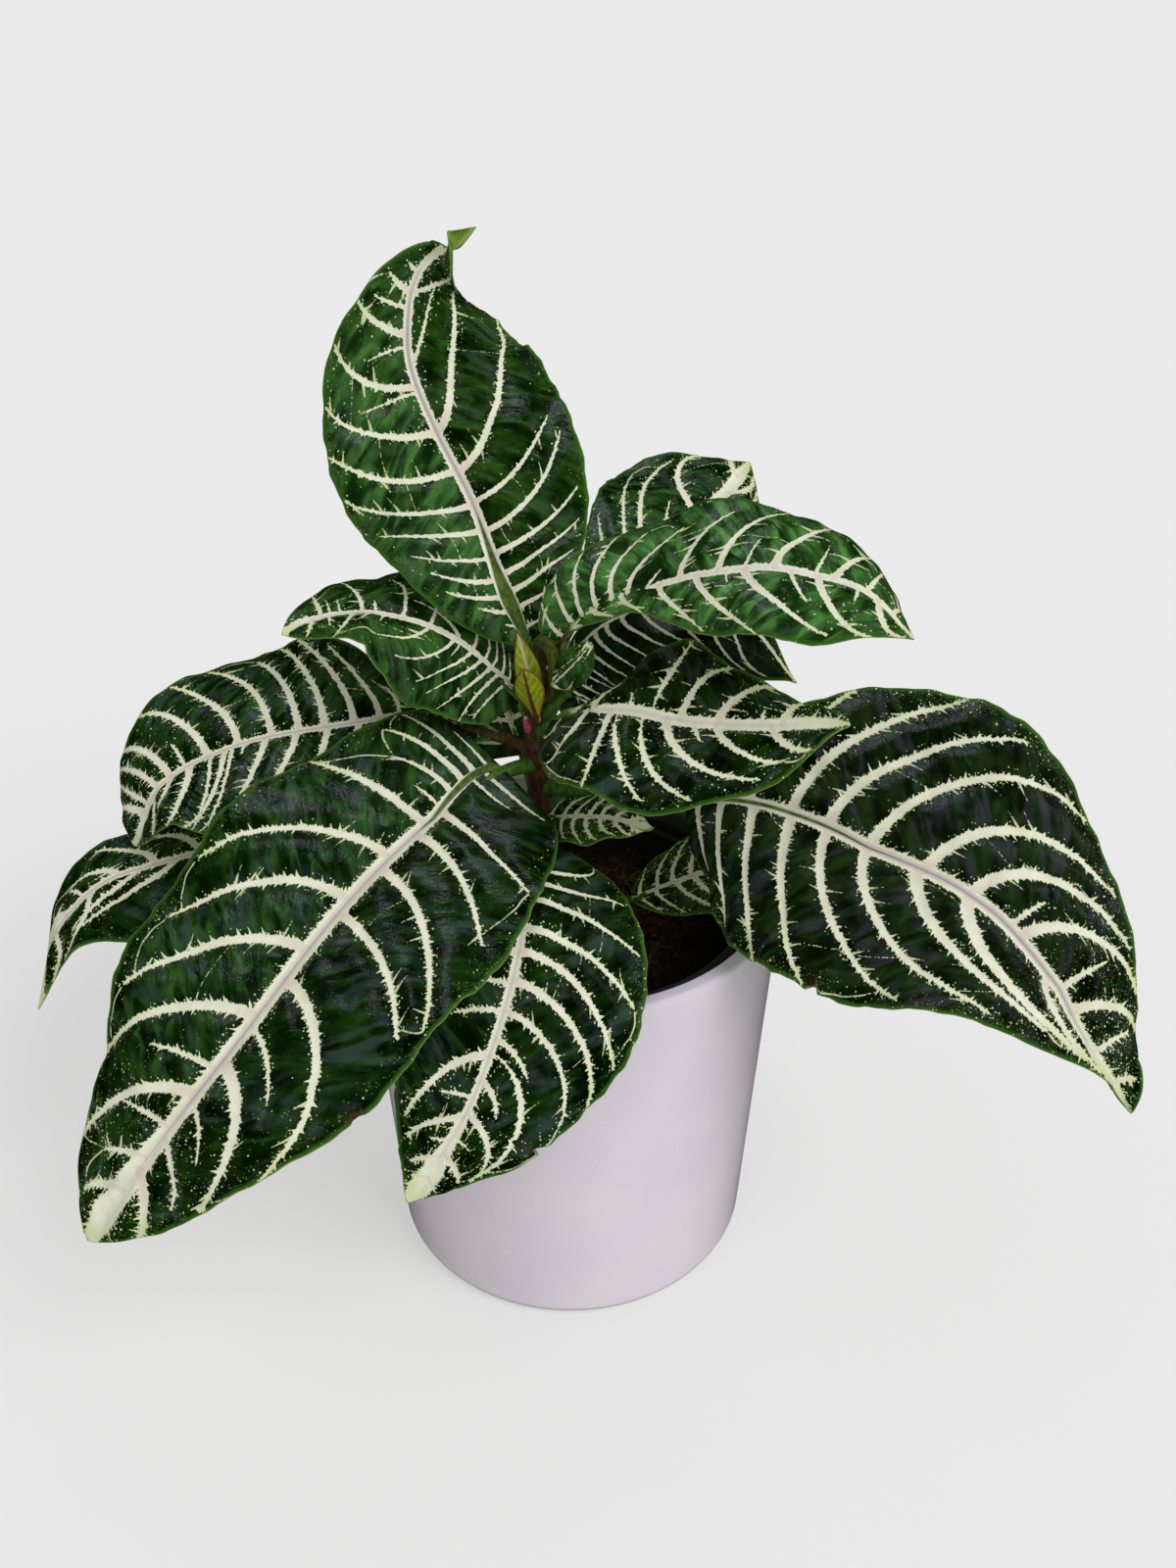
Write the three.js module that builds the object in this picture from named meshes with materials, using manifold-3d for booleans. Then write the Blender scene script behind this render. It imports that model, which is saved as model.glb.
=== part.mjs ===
// Potted zebra plant (Aphelandra squarrosa): a ceramic cover pot, the plastic nursery pot inside it,
// its soil, one stem and its leaves. Millimetres, +Z up, origin at the centre of the pot's flat base.
import * as THREE from 'three';
import Module from 'manifold-3d';

const wasm = await Module();
wasm.setup();

// Clearance between neighbouring pieces.
const GAP = 0.3;

// Ceramic cover pot.
const COVER = {
  height: 142, topRadius: 70, baseRadius: 62, wall: 5, floor: 6,
  rimRound: 1.4, lipRound: 1.2, footRound: 5, insideRound: 6,
};
const COVER_SIDES = 44;

// Plastic nursery pot that stands on the cover pot's floor.
const NURSERY = {
  height: 131, topRadius: 58.5, baseRadius: 46, wall: 1.2, footRound: 1,
  rimHeight: 6, rimRadius: 61, rimRound: 1.2, rimHem: 1,
};
const NURSERY_SIDES = 36;
const DRAIN = { radius: 5, ring: 30, count: 4, margin: 2, sides: 8 };

// Soil in the nursery pot: its level at the wall, the rounded edge there and the rise towards the stem.
const SOIL = { level: 119, edge: 2, edgeStep: 1.5, lip: 1, rise: 6 };
const SOIL_SIDES = NURSERY_SIDES;
const SOIL_RINGS = 7;
// The lumps on top add up from waves: height, radians per millimetre in x and in y, phase.
const SOIL_WAVES = [[0.6, 0.31, 0.27, 0.2], [0.6, 0.31, -0.27, 1], [0.5, 0.5, 0.5, 0]];

// The stem leans a little to the left and tapers to the growing tip.
const STEM_PATH = [[-4, 0, 96], [-8, 1, 140], [-10, 0, 180], [-11, 0, 219]];
const STEM_RADIUS = { soil: 4.6, top: 2.6, tip: 1.0, tipStart: 0.94 };
const STEM_SIDES = 10;
const STEM_STEPS = 14;

// A blade's mesh: rows along the rib, in pairs of one vein and one swelling between veins, and columns
// from the rib to the margin. The rows follow the side veins: sweep is how far a vein's end lies nearer
// the tip than its root, and lean moves the longest sweep towards the base. keel is the height of the
// rib below the blade at the base and at the tip.
const BLADE = {
  rows: 16, columns: 3, thickness: 0.9, keel: [1.9, 0.3], quilt: 0.5,
  sweep: 0.16, sweepPower: 1.5, lean: 0.9, handPhase: 1.3,
};
const YOUNG_ROWS = 8;

// A stalk enters the rib's underside at these stations, sunk by a share of its radius, and tapers.
const STALK = { seat: [0, 0.06, 0.12], sink: 0.6, taper: 0.4, sides: 6, steps: 8 };

// Each leaf. node: height on the stem where its stalk starts. stalk: points that the stalk passes.
// rib: midrib of the blade, base to tip. up: directions that the upper face looks in, at even stations.
// left, right: greatest half-width, station of that width, fullness at the base and at the tip (small
// is blunt). tilt: how far each half lifts, degrees at even stations, left then right. curl: how far
// each margin rolls down, degrees. wave: ripple of the margin, height, count and phase.
// twist: stations where the tip starts and stops turning about the rib, and the turn in degrees.
const LEAVES = {
  leaf_top: {
    node: 209, stalk: [], stalkRadius: 2.2,
    rib: [[-12, 4, 226], [-21, 18, 241], [-30, 34, 260], [-41, 46, 278], [-49, 56, 296], [-49, 62, 312],
      [-46, 66, 321], [-41, 69, 326], [-34, 70, 329], [-28, 70, 334]],
    up: [[-0.1, -0.85, 0.5], [0.1, -0.85, 0.5], [0.2, -0.8, 0.55]],
    left: [36.5, 0.44, 0.8, 1.75], right: [41, 0.5, 0.42, 0.95],
    tilt: [[15, 12, 15], [15, 5, -5]], curl: [20, 20], wave: [3, 3, 0], twist: [0.9, 0.95, -125],
  },
  leaf_right_upper: {
    node: 207, stalk: [[-5, -1, 214]], stalkRadius: 2.2,
    rib: [[-4, -4, 225], [0, -8, 237], [6, -12, 246], [17, -16, 254], [29, -22, 260], [54, -33, 267],
      [78, -42, 263], [93, -49, 254]],
    up: [[-0.2, -0.7, 0.6], [-0.2, -0.4, 1], [0.2, -0.4, 1], [0.4, -0.2, 0.9]],
    left: [27.5, 0.58, 0.42, 0.75], right: [21, 0.68, 0.8, 1],
    tilt: [[20, 15, 5], [-15, -10, -10]], curl: [25, 25], wave: [2, 3, 0],
  },
  leaf_right_inner: {
    node: 201, stalk: [], stalkRadius: 1.8,
    rib: [[-1, -1, 212], [8, -1, 224], [23, -4, 232], [43, -8, 235], [68, -14, 222]],
    up: [[-0.4, -0.5, 0.7], [0, -0.3, 0.9]],
    left: [22, 0.5, 0.6, 0.9], right: [26, 0.34, 0.6, 1.2],
    tilt: [[0, 0, 0], [-50, -60, -40]], curl: [20, 10], wave: [1, 3, 0],
  },
  leaf_right_mid: {
    node: 196, stalk: [], stalkRadius: 2,
    rib: [[-5, -9, 207], [6, -20, 216], [18, -27, 219], [34, -33, 218], [57, -38, 219], [80, -41, 223]],
    up: [[-0.2, -0.3, 0.9], [0, -0.4, 0.9]],
    left: [26, 0.48, 4, 0.6], right: [28, 0.4, 0.4, 1.1],
    tilt: [[10, 32, 10], [0, -5, 0]], curl: [20, 25], wave: [2, 3, 0.2],
  },
  leaf_back_right: {
    node: 190, stalk: [[-4, 5, 205]], stalkRadius: 2,
    rib: [[6, 12, 226], [22, 36, 235], [42, 67, 242], [62, 95, 250]],
    up: [[0, -0.5, 0.9], [0.2, -0.4, 0.9]],
    left: [31, 0.6, 0.6, 1], right: [30, 0.5, 0.6, 1],
    tilt: [[10, 10], [10, 10]], curl: [20, 20], wave: [2, 3, 0],
  },
  leaf_right_low: {
    node: 178, stalk: [[12, -6, 177]], stalkRadius: 2.6,
    rib: [[36, -14, 179], [48, -20, 185], [65, -28, 186], [87, -40, 182], [120, -60, 168], [150, -78, 140],
      [165, -86, 118]],
    up: [[0, -0.6, 0.8], [0.25, -0.7, 0.7], [0.6, -0.5, 0.6]],
    left: [56.5, 0.42, 1.6, 0.85], right: [47, 0.31, 0.7, 1.5],
    tilt: [[20, 15, 20], [0, 0, 15]], curl: [10, 25], wave: [3, 3, 0.1], twist: [0.93, 1, 90],
  },
  leaf_front_left: {
    node: 186, stalk: [], stalkRadius: 2.6,
    rib: [[-20, -9, 189], [-41, -28, 183], [-65, -60, 173], [-91, -95, 153], [-114, -115, 130],
      [-132, -124, 107]],
    up: [[-0.1, -0.5, 0.85], [-0.2, -0.6, 0.75], [-0.4, -0.6, 0.7]],
    left: [48, 0.36, 0.3, 0.75], right: [49, 0.42, 0.3, 0.6],
    tilt: [[8, 5, 0], [12, 10, 0]], curl: [15, 15], wave: [4, 3.2, 0],
  },
  leaf_front: {
    node: 170, stalk: [[-10, -14, 174]], stalkRadius: 2,
    rib: [[-9, -28, 175], [-13, -52, 170], [-18, -74, 155], [-28, -92, 130], [-39, -98, 109],
      [-47, -100, 96]],
    up: [[0.1, -0.6, 0.8], [0.2, -0.8, 0.6], [0.2, -0.95, 0.3]],
    left: [42, 0.4, 0.55, 0.9], right: [28, 0.45, 0.55, 0.9],
    tilt: [[5, 5, 0], [0, 0, 0]], curl: [15, 15], wave: [2, 3, 0],
  },
  leaf_left_mid: {
    node: 190, stalk: [], stalkRadius: 2.4,
    rib: [[-21, 4, 194], [-34, 6, 196], [-51, 10, 198], [-67, 10, 196], [-96, 10, 191], [-114, 8, 186],
      [-133, 2, 177], [-141, -4, 157]],
    up: [[0, -0.3, 0.95], [-0.2, -0.3, 0.9], [-0.5, -0.3, 0.8]],
    left: [36, 0.6, 0.8, 0.75], right: [36, 0.6, 1, 0.65],
    tilt: [[-15, 0, 5], [10, 28, 10, 15]], curl: [15, 15], wave: [4, 2.9, 0.88],
  },
  leaf_left_low: {
    node: 156, stalk: [[-30, 0, 164]], stalkRadius: 2.2,
    rib: [[-57, 0, 167], [-89, -5, 160], [-126, -10, 152], [-156, -20, 141], [-173, -30, 110]],
    up: [[0, -0.3, 0.95], [-0.3, -0.3, 0.9]],
    left: [27, 0.42, 0.6, 1.9], right: [25, 0.57, 0.7, 1.3],
    tilt: [[0, 0], [5, 5]], curl: [20, 20], wave: [2, 3, 0],
  },
  leaf_left_upper: {
    node: 198, stalk: [[-13, 0, 203]], stalkRadius: 1.5,
    rib: [[-15, 1, 207], [-30, 8, 222], [-43, 12, 229], [-55, 14, 232], [-64, 14, 233], [-74, 12, 232],
      [-88, 8, 227]],
    up: [[0.5, -0.7, 0.6], [0.3, -0.7, 0.7], [0, 0.1, 1], [0, -0.2, 1]],
    left: [27, 0.42, 0.4, 0.9], right: [28, 0.5, 0.9, 0.8],
    tilt: [[0, 0, 0], [5, 5, 10]], curl: [15, 15], wave: [1, 3, 0],
  },
  leaf_back_left: {
    node: 196, stalk: [], stalkRadius: 1.8,
    rib: [[-20, 18, 218], [-32, 35, 226], [-45, 54, 221], [-62, 72, 210]],
    up: [[0, -0.3, 0.9], [0, -0.3, 0.9]],
    left: [22, 0.5, 0.6, 1], right: [22, 0.5, 0.6, 1],
    tilt: [[5, 5], [5, 5]], curl: [15, 15], wave: [1, 3, 0],
  },
  leaf_back_low_left: {
    node: 168, stalk: [], stalkRadius: 2.2,
    rib: [[-15, 20, 177], [-27, 52, 186], [-40, 86, 175], [-54, 116, 150]],
    up: [[0, 0, 1], [-0.2, 0.4, 0.8]],
    left: [37, 0.4, 0.4, 1], right: [30, 0.5, 0.8, 1],
    tilt: [[5, 5], [5, 5]], curl: [15, 15], wave: [2, 3, 0],
  },
  leaf_back_low_right: {
    node: 164, stalk: [], stalkRadius: 2.2,
    rib: [[10, 26, 178], [22, 54, 182], [38, 84, 170], [54, 112, 144]],
    up: [[0, 0, 1], [0.2, 0.4, 0.8]],
    left: [34, 0.45, 0.6, 1], right: [34, 0.45, 0.6, 1],
    tilt: [[5, 5], [5, 5]], curl: [15, 15], wave: [2, 3, 0.3],
  },
  leaf_inner_small: {
    node: 162, stalk: [], stalkRadius: 1.4,
    rib: [[-7, -11, 173], [3, -17, 177], [14, -23, 180], [26, -27, 179]],
    up: [[0, -0.3, 0.9], [0, -0.3, 0.9]],
    left: [11, 0.4, 0.4, 1], right: [11, 0.4, 0.4, 1],
    tilt: [[5, 5], [0, 0]], curl: [15, 15], wave: [1, 3, 0],
  },
  leaf_inner_low: {
    node: 134, stalk: [], stalkRadius: 1.8,
    rib: [[20, -14, 143], [33, -12, 148], [52, -8, 152], [74, -2, 152]],
    up: [[0, -0.3, 0.9], [0, -0.3, 0.9]],
    left: [16, 0.5, 0.6, 1], right: [16, 0.5, 0.6, 1],
    tilt: [[5, 5], [0, 0]], curl: [15, 15], wave: [1, 3, 0],
  },
};

// The pair of young leaves at the growing tip. The front one shows its underside.
const YOUNG_LEAVES = {
  young_leaf_back: {
    node: 212, stalk: [], stalkRadius: 1.1,
    rib: [[-11, -5, 212], [-12, -8, 223], [-15, -9, 237]],
    up: [[0, -1, 0.3], [0, -1, 0.3]],
    left: [4, 0.4, 0.8, 1.2], right: [4, 0.4, 0.8, 1.2],
    tilt: [[10, 10], [10, 10]], curl: [0, 0], wave: [0, 3, 0],
  },
  young_leaf_front: {
    node: 209, stalk: [], stalkRadius: 1.1,
    rib: [[-9, -10, 208], [-11, -13, 217], [-13, -14, 227]],
    up: [[0, 1, 0.3], [0, 1, 0.3]],
    left: [4.5, 0.6, 0.9, 0.8], right: [4.5, 0.6, 0.9, 0.8],
    tilt: [[5, 5], [5, 5]], curl: [0, 0], wave: [0, 3, 0],
  },
};

// The bud below the young leaves, a spindle on a stalk that leans forward from the stem. Its radius at a
// share of the path is between stalk and tip, plus the swell after the neck.
const BUD = {
  path: [[-11, -2, 195], [-12, -6, 199], [-13, -9, 208]], stalk: 0.8, tip: 0.3, neck: 0.5, swell: 0.9,
  sides: 8, steps: 12,
};

const GLAZE = { color: 0xc8c0cd, roughness: 0.25, metalness: 0 };
const PLASTIC = { color: 0x141416, roughness: 0.5, metalness: 0 };
const EARTH = { color: 0x3b2219, roughness: 1, metalness: 0 };
const BARK = { color: 0x5a4a28, roughness: 0.6, metalness: 0 };
const LEAF = { color: 0x1f4a22, roughness: 0.35, metalness: 0 };
const YOUNG_LEAF = { color: 0x8fa32c, roughness: 0.4, metalness: 0 };
const BRACT = { color: 0xa8505a, roughness: 0.5, metalness: 0 };

// ---- closed meshes and solids ----

function toSolid(positions, triangles) {
  const vertProperties = new Float32Array(positions.flat());
  const triVerts = new Uint32Array(triangles.flat());
  return new wasm.Manifold(new wasm.Mesh({ numProp: 3, vertProperties, triVerts }));
}

function toGeometry(solid) {
  const { vertProperties, triVerts } = solid.getMesh();
  const geometry = new THREE.BufferGeometry();
  geometry.setAttribute('position', new THREE.BufferAttribute(vertProperties, 3));
  geometry.setIndex(new THREE.BufferAttribute(triVerts, 1));
  geometry.computeVertexNormals();
  return geometry;
}

// The largest of the separate pieces that a cut leaves.
function largest(solid) {
  return solid.decompose().reduce((best, piece) => (piece.volume() > best.volume() ? piece : best));
}

// Two triangles, or one where two corners are the same vertex.
function quad(triangles, a, b, c, d) {
  if (a !== b && b !== c && a !== c) triangles.push([a, b, c]);
  if (a !== c && c !== d && a !== d) triangles.push([a, c, d]);
}

// Points of [radius, z] on a round edge about a centre, between two angles in degrees.
function round(centreRadius, centreZ, size, from, to, steps = 3) {
  return Array.from({ length: steps + 1 }, (_, k) => {
    const angle = THREE.MathUtils.degToRad(THREE.MathUtils.lerp(from, to, k / steps));
    return [centreRadius + size * Math.cos(angle), centreZ + size * Math.sin(angle)];
  });
}

// A solid of revolution whose profile of [radius, z] starts and ends on the axis.
function turn(profile, sides, lift = () => 0) {
  const positions = [];
  const rings = profile.map(([radius, z]) => {
    if (radius === 0) {
      positions.push([0, 0, z + lift(0, 0, z)]);
      return new Array(sides + 1).fill(positions.length - 1);
    }
    const first = positions.length;
    for (let k = 0; k < sides; k += 1) {
      const angle = (2 * Math.PI * k) / sides;
      const x = radius * Math.cos(angle);
      const y = radius * Math.sin(angle);
      positions.push([x, y, z + lift(x, y, z)]);
    }
    return Array.from({ length: sides + 1 }, (_, k) => first + (k % sides));
  });
  const triangles = [];
  for (let i = 0; i + 1 < rings.length; i += 1) {
    for (let k = 0; k < sides; k += 1) {
      quad(triangles, rings[i][k], rings[i][k + 1], rings[i + 1][k + 1], rings[i + 1][k]);
    }
  }
  return toSolid(positions, triangles);
}

// A tapered round rod along a curve, closed by a flat cap at each end.
function rod(curve, radiusAt, sides, steps) {
  const positions = [];
  const triangles = [];
  const frames = curve.computeFrenetFrames(steps, false);
  for (let i = 0; i <= steps; i += 1) {
    const centre = curve.getPointAt(i / steps);
    for (let k = 0; k < sides; k += 1) {
      const angle = (2 * Math.PI * k) / sides;
      const point = centre.clone()
        .addScaledVector(frames.normals[i], radiusAt(i / steps) * Math.cos(angle))
        .addScaledVector(frames.binormals[i], radiusAt(i / steps) * Math.sin(angle));
      positions.push(point.toArray());
    }
  }
  for (let i = 0; i < steps; i += 1) {
    for (let k = 0; k < sides; k += 1) {
      const next = (k + 1) % sides;
      const ring = i * sides;
      quad(triangles, ring + k, ring + next, ring + sides + next, ring + sides + k);
    }
  }
  for (let k = 1; k + 1 < sides; k += 1) {
    triangles.push([0, k + 1, k]);
    triangles.push([steps * sides, steps * sides + k, steps * sides + k + 1]);
  }
  return toSolid(positions, triangles);
}

function smoothCurve(points) {
  return new THREE.CatmullRomCurve3(points.map((p) => new THREE.Vector3(...p)), false, 'catmullrom', 0.5);
}

// ---- pots and soil ----

function coverPot() {
  const { height, topRadius, baseRadius, wall, floor, rimRound, lipRound, footRound, insideRound } = COVER;
  const outer = (z) => THREE.MathUtils.lerp(baseRadius, topRadius, z / height);
  const inner = (z) => outer(z) - wall;
  const insideFoot = floor + insideRound;
  return turn([
    [0, 0],
    ...round(outer(footRound) - footRound, footRound, footRound, -90, 0),
    ...round(outer(height) - rimRound, height - rimRound, rimRound, 0, 90),
    ...round(inner(height) + lipRound, height - lipRound, lipRound, 90, 180),
    ...round(inner(insideFoot) - insideRound, insideFoot, insideRound, 0, -90),
    [0, floor],
  ], COVER_SIDES);
}

const NURSERY_BOTTOM = COVER.floor + GAP;
const NURSERY_TOP = NURSERY_BOTTOM + NURSERY.height;

// Outer radius of the nursery pot's wall at a height.
function nurseryWall(z) {
  const share = (z - NURSERY_BOTTOM) / NURSERY.height;
  return THREE.MathUtils.lerp(NURSERY.baseRadius, NURSERY.topRadius, share);
}

function nurseryPot() {
  const { wall, footRound, rimHeight, rimRadius, rimRound, rimHem } = NURSERY;
  const bottom = NURSERY_BOTTOM;
  const rimLow = NURSERY_TOP - rimHeight;
  const shell = turn([
    [0, bottom],
    [nurseryWall(bottom) - footRound, bottom],
    [nurseryWall(bottom), bottom + footRound],
    [nurseryWall(rimLow), rimLow],
    [rimRadius - rimHem, rimLow],
    [rimRadius, rimLow + rimHem],
    ...round(rimRadius - rimRound, NURSERY_TOP - rimRound, rimRound, 0, 90),
    [nurseryWall(rimLow) - wall, rimLow],
    [nurseryWall(bottom + wall) - wall, bottom + wall],
    [0, bottom + wall],
  ], NURSERY_SIDES);
  return drainHoles().reduce((pot, hole) => pot.subtract(hole), shell);
}

function drainHoles() {
  const { radius, ring, count, margin, sides } = DRAIN;
  const low = NURSERY_BOTTOM - margin;
  const high = NURSERY_BOTTOM + NURSERY.wall + margin;
  return Array.from({ length: count }, (_, k) => {
    const hole = turn([[0, low], [radius, low], [radius, high], [0, high]], sides);
    const angle = (2 * Math.PI * (k + 0.5)) / count;
    return hole.translate([ring * Math.cos(angle), ring * Math.sin(angle), 0]);
  });
}

// Height of the lumps on the soil's top; the sides and the bottom stay plain.
function soilLump(x, y, z) {
  if (z < SOIL.level) return 0;
  const waves = SOIL_WAVES.map(([height, kx, ky, phase]) => height * Math.sin(kx * x + ky * y + phase));
  return waves.reduce((sum, wave) => sum + wave);
}

function soil(stemHole) {
  const { level, edge, edgeStep, lip, rise } = SOIL;
  const bottom = NURSERY_BOTTOM + NURSERY.wall + GAP;
  const sideRadius = (z) => nurseryWall(z) - NURSERY.wall - GAP;
  const profile = [[0, bottom], [sideRadius(bottom), bottom], [sideRadius(level - edge), level - edge]];
  for (let i = SOIL_RINGS; i >= 0; i -= 1) {
    const share = i / SOIL_RINGS;
    const radius = (sideRadius(level - edge) - edgeStep) * share;
    profile.push([radius, level + lip + rise * (1 - share * share)]);
  }
  return turn(profile, SOIL_SIDES, soilLump).subtract(stemHole);
}

// ---- stem ----

const stemCurve = smoothCurve(STEM_PATH);
const [STEM_FOOT, ...STEM_MIDDLE] = STEM_PATH;
const STEM_TIP = STEM_MIDDLE.pop();

function stemRadius(share) {
  const { soil: low, top, tip, tipStart } = STEM_RADIUS;
  const tipShare = Math.max(share - tipStart, 0) / (1 - tipStart);
  return THREE.MathUtils.lerp(THREE.MathUtils.lerp(low, top, share), tip, tipShare);
}

// The stem, or with extra the room that it needs: wider and longer at both ends by that much.
function stem(extra = 0) {
  const foot = [STEM_FOOT[0], STEM_FOOT[1], STEM_FOOT[2] - extra];
  const tip = [STEM_TIP[0], STEM_TIP[1], STEM_TIP[2] + extra];
  const curve = smoothCurve([foot, ...STEM_MIDDLE, tip]);
  return rod(curve, (share) => stemRadius(share) + extra, STEM_SIDES, STEM_STEPS);
}

// The point of the stem's axis at a height, found by halving.
function stemPoint(z, low = 0, high = 1) {
  const middle = (low + high) / 2;
  const point = stemCurve.getPointAt(middle);
  if (high - low < 1e-6) return point.toArray();
  return point.z < z ? stemPoint(z, middle, high) : stemPoint(z, low, middle);
}

// ---- leaves ----

// The value at a station between even stations of a list of numbers or of vectors.
function between(list, station) {
  const place = Math.min(Math.max(station, 0), 1) * (list.length - 1);
  const index = Math.min(Math.floor(place), list.length - 2);
  const share = place - index;
  if (typeof list[0] === 'number') return list[index] * (1 - share) + list[index + 1] * share;
  return new THREE.Vector3(...list[index]).lerp(new THREE.Vector3(...list[index + 1]), share);
}

// Half-width at a station, as a share of the greatest.
function outline(station, [, widest, baseEnd, tipEnd]) {
  const bent = station ** (Math.log(0.5) / Math.log(widest));
  return Math.max(Math.sin(Math.PI * bent), 0) ** (baseEnd + (tipEnd - baseEnd) * station);
}

// Point, side direction and upward direction of the rib at a station.
function ribFrame(leaf, curve, station) {
  const tangent = curve.getTangentAt(station);
  const up = between(leaf.up, station);
  up.addScaledVector(tangent, -up.dot(tangent)).normalize();
  const side = new THREE.Vector3().crossVectors(tangent, up);
  const [start, end, degrees] = leaf.twist ?? [0, 1, 0];
  const share = THREE.MathUtils.clamp((station - start) / (end - start), 0, 1);
  const turned = THREE.MathUtils.degToRad(degrees) * share;
  const normal = up.clone().multiplyScalar(Math.cos(turned)).addScaledVector(side, Math.sin(turned));
  side.crossVectors(tangent, normal);
  return { point: curve.getPointAt(station), side, normal };
}

// Point of the blade's middle surface: reach runs from 0 at the rib to 1 at the margin.
function bladePoint(leaf, curve, station, reach, hand) {
  const { point, side, normal } = ribFrame(leaf, curve, station);
  const edge = hand < 0 ? leaf.left : leaf.right;
  const index = hand < 0 ? 0 : 1;
  const distance = edge[0] * outline(station, edge) * reach;
  const lift = between(leaf.tilt[index], station) - (leaf.curl[index] * reach) / 2;
  const angle = THREE.MathUtils.degToRad(lift);
  const [height, count, phase] = leaf.wave;
  const fade = reach * reach * Math.sqrt(Math.max(Math.sin(Math.PI * station), 0));
  const swing = Math.sin(2 * Math.PI * (count * station + phase) + BLADE.handPhase * hand);
  return point.addScaledVector(side, hand * distance * Math.cos(angle))
    .addScaledVector(normal, distance * Math.sin(angle) + height * swing * fade);
}

// Station of a point of a row.
function veinStation(row, reach) {
  const { sweep, sweepPower, lean } = BLADE;
  return Math.min(row + sweep * Math.sin(Math.PI * row ** lean) * reach ** sweepPower, 1);
}

function blade(leaf, curve, rows) {
  const { columns, thickness, keel: [keelBase, keelTip], quilt } = BLADE;
  const middle = [];
  for (let i = 0; i <= rows; i += 1) {
    middle.push([]);
    for (let j = -columns; j <= columns; j += 1) {
      const reach = Math.abs(j) / columns;
      const end = i === 0 || i === rows;
      const station = end ? i / rows : veinStation(i / rows, reach);
      middle[i].push(bladePoint(leaf, curve, station, end ? 0 : reach, Math.sign(j)));
    }
  }
  const across = 2 * columns;
  const positions = [];
  const top = [];
  const bottom = [];
  for (let i = 0; i <= rows; i += 1) {
    const end = i === 0 || i === rows;
    top.push([]);
    bottom.push([]);
    for (let j = 0; j <= across; j += 1) {
      if (end && j > 0) {
        top[i].push(top[i][0]);
        bottom[i].push(bottom[i][0]);
        continue;
      }
      const normal = end ? ribFrame(leaf, curve, i / rows).normal : gridNormal(middle, i, j, rows, across);
      const reach = Math.abs(j - columns) / columns;
      const swell = end ? 0 : quilt * (i % 2 ? 1 : -1) * Math.sin(Math.PI * reach);
      const ridge = reach === 0 && !end ? THREE.MathUtils.lerp(keelBase, keelTip, i / rows) : 0;
      const point = middle[i][j];
      positions.push(point.clone().addScaledVector(normal, swell + thickness / 2).toArray());
      positions.push(point.clone().addScaledVector(normal, swell - thickness / 2 - ridge).toArray());
      top[i].push(positions.length - 2);
      bottom[i].push(positions.length - 1);
    }
  }
  const triangles = [];
  for (let i = 0; i < rows; i += 1) {
    for (let j = 0; j < across; j += 1) {
      quad(triangles, top[i][j], top[i][j + 1], top[i + 1][j + 1], top[i + 1][j]);
      quad(triangles, bottom[i + 1][j + 1], bottom[i][j + 1], bottom[i][j], bottom[i + 1][j]);
    }
    quad(triangles, top[i][across], bottom[i][across], bottom[i + 1][across], top[i + 1][across]);
    quad(triangles, top[i + 1][0], bottom[i + 1][0], bottom[i][0], top[i][0]);
  }
  return toSolid(positions, triangles);
}

// Normal of the middle surface at a vertex, from its neighbours.
function gridNormal(middle, i, j, rows, across) {
  const along = middle[Math.min(i + 1, rows - 1)][j].clone().sub(middle[Math.max(i - 1, 1)][j]);
  const aside = middle[i][Math.min(j + 1, across)].clone().sub(middle[i][Math.max(j - 1, 0)]);
  return new THREE.Vector3().crossVectors(aside, along).normalize();
}

// The stalk runs from the stem's axis into the underside of the rib.
function stalk(leaf, curve) {
  const points = [stemPoint(leaf.node), ...leaf.stalk];
  for (const station of STALK.seat) {
    const { point, normal } = ribFrame(leaf, curve, station);
    points.push(point.addScaledVector(normal, -STALK.sink * leaf.stalkRadius).toArray());
  }
  const radiusAt = (share) => leaf.stalkRadius * (1 - STALK.taper * share);
  return rod(smoothCurve(points), radiusAt, STALK.sides, STALK.steps);
}

function leafSolid(leaf, rows, stemClearance) {
  const curve = smoothCurve(leaf.rib);
  return largest(blade(leaf, curve, rows).add(stalk(leaf, curve)).subtract(stemClearance));
}

// The bud swells from its foot and closes to a point.
function bud(stemClearance) {
  const { path, stalk, tip, neck, swell, sides, steps } = BUD;
  const swollen = (share) => Math.sin((Math.PI * Math.max(share - neck, 0)) / (1 - neck));
  const radiusAt = (share) => THREE.MathUtils.lerp(stalk, tip, share) + swell * swollen(share);
  return largest(rod(smoothCurve(path), radiusAt, sides, steps).subtract(stemClearance));
}

// ---- the plant in its pots ----

const plant = new THREE.Group();

function addPiece(name, solid, look) {
  const mesh = new THREE.Mesh(toGeometry(solid), new THREE.MeshStandardMaterial(look));
  mesh.name = name;
  plant.add(mesh);
}

const stemClearance = stem(GAP);
addPiece('cover_pot', coverPot(), GLAZE);
addPiece('nursery_pot', nurseryPot(), PLASTIC);
addPiece('soil', soil(stemClearance), EARTH);
addPiece('stem', stem(), BARK);
for (const [name, leaf] of Object.entries(LEAVES)) {
  addPiece(name, leafSolid(leaf, BLADE.rows, stemClearance), LEAF);
}
for (const [name, leaf] of Object.entries(YOUNG_LEAVES)) {
  addPiece(name, leafSolid(leaf, YOUNG_ROWS, stemClearance), YOUNG_LEAF);
}
addPiece('bud', bud(stemClearance), BRACT);

export default plant;
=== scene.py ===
"""Potted zebra plant (Aphelandra squarrosa) in a glazed cover pot: looks, camera and light.

Lengths are millimetres until a mesh is built. A text of numbers holds rows, with a comma after each row.
"""

import math

import bpy
import numpy as np
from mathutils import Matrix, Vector, noise as field


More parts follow.
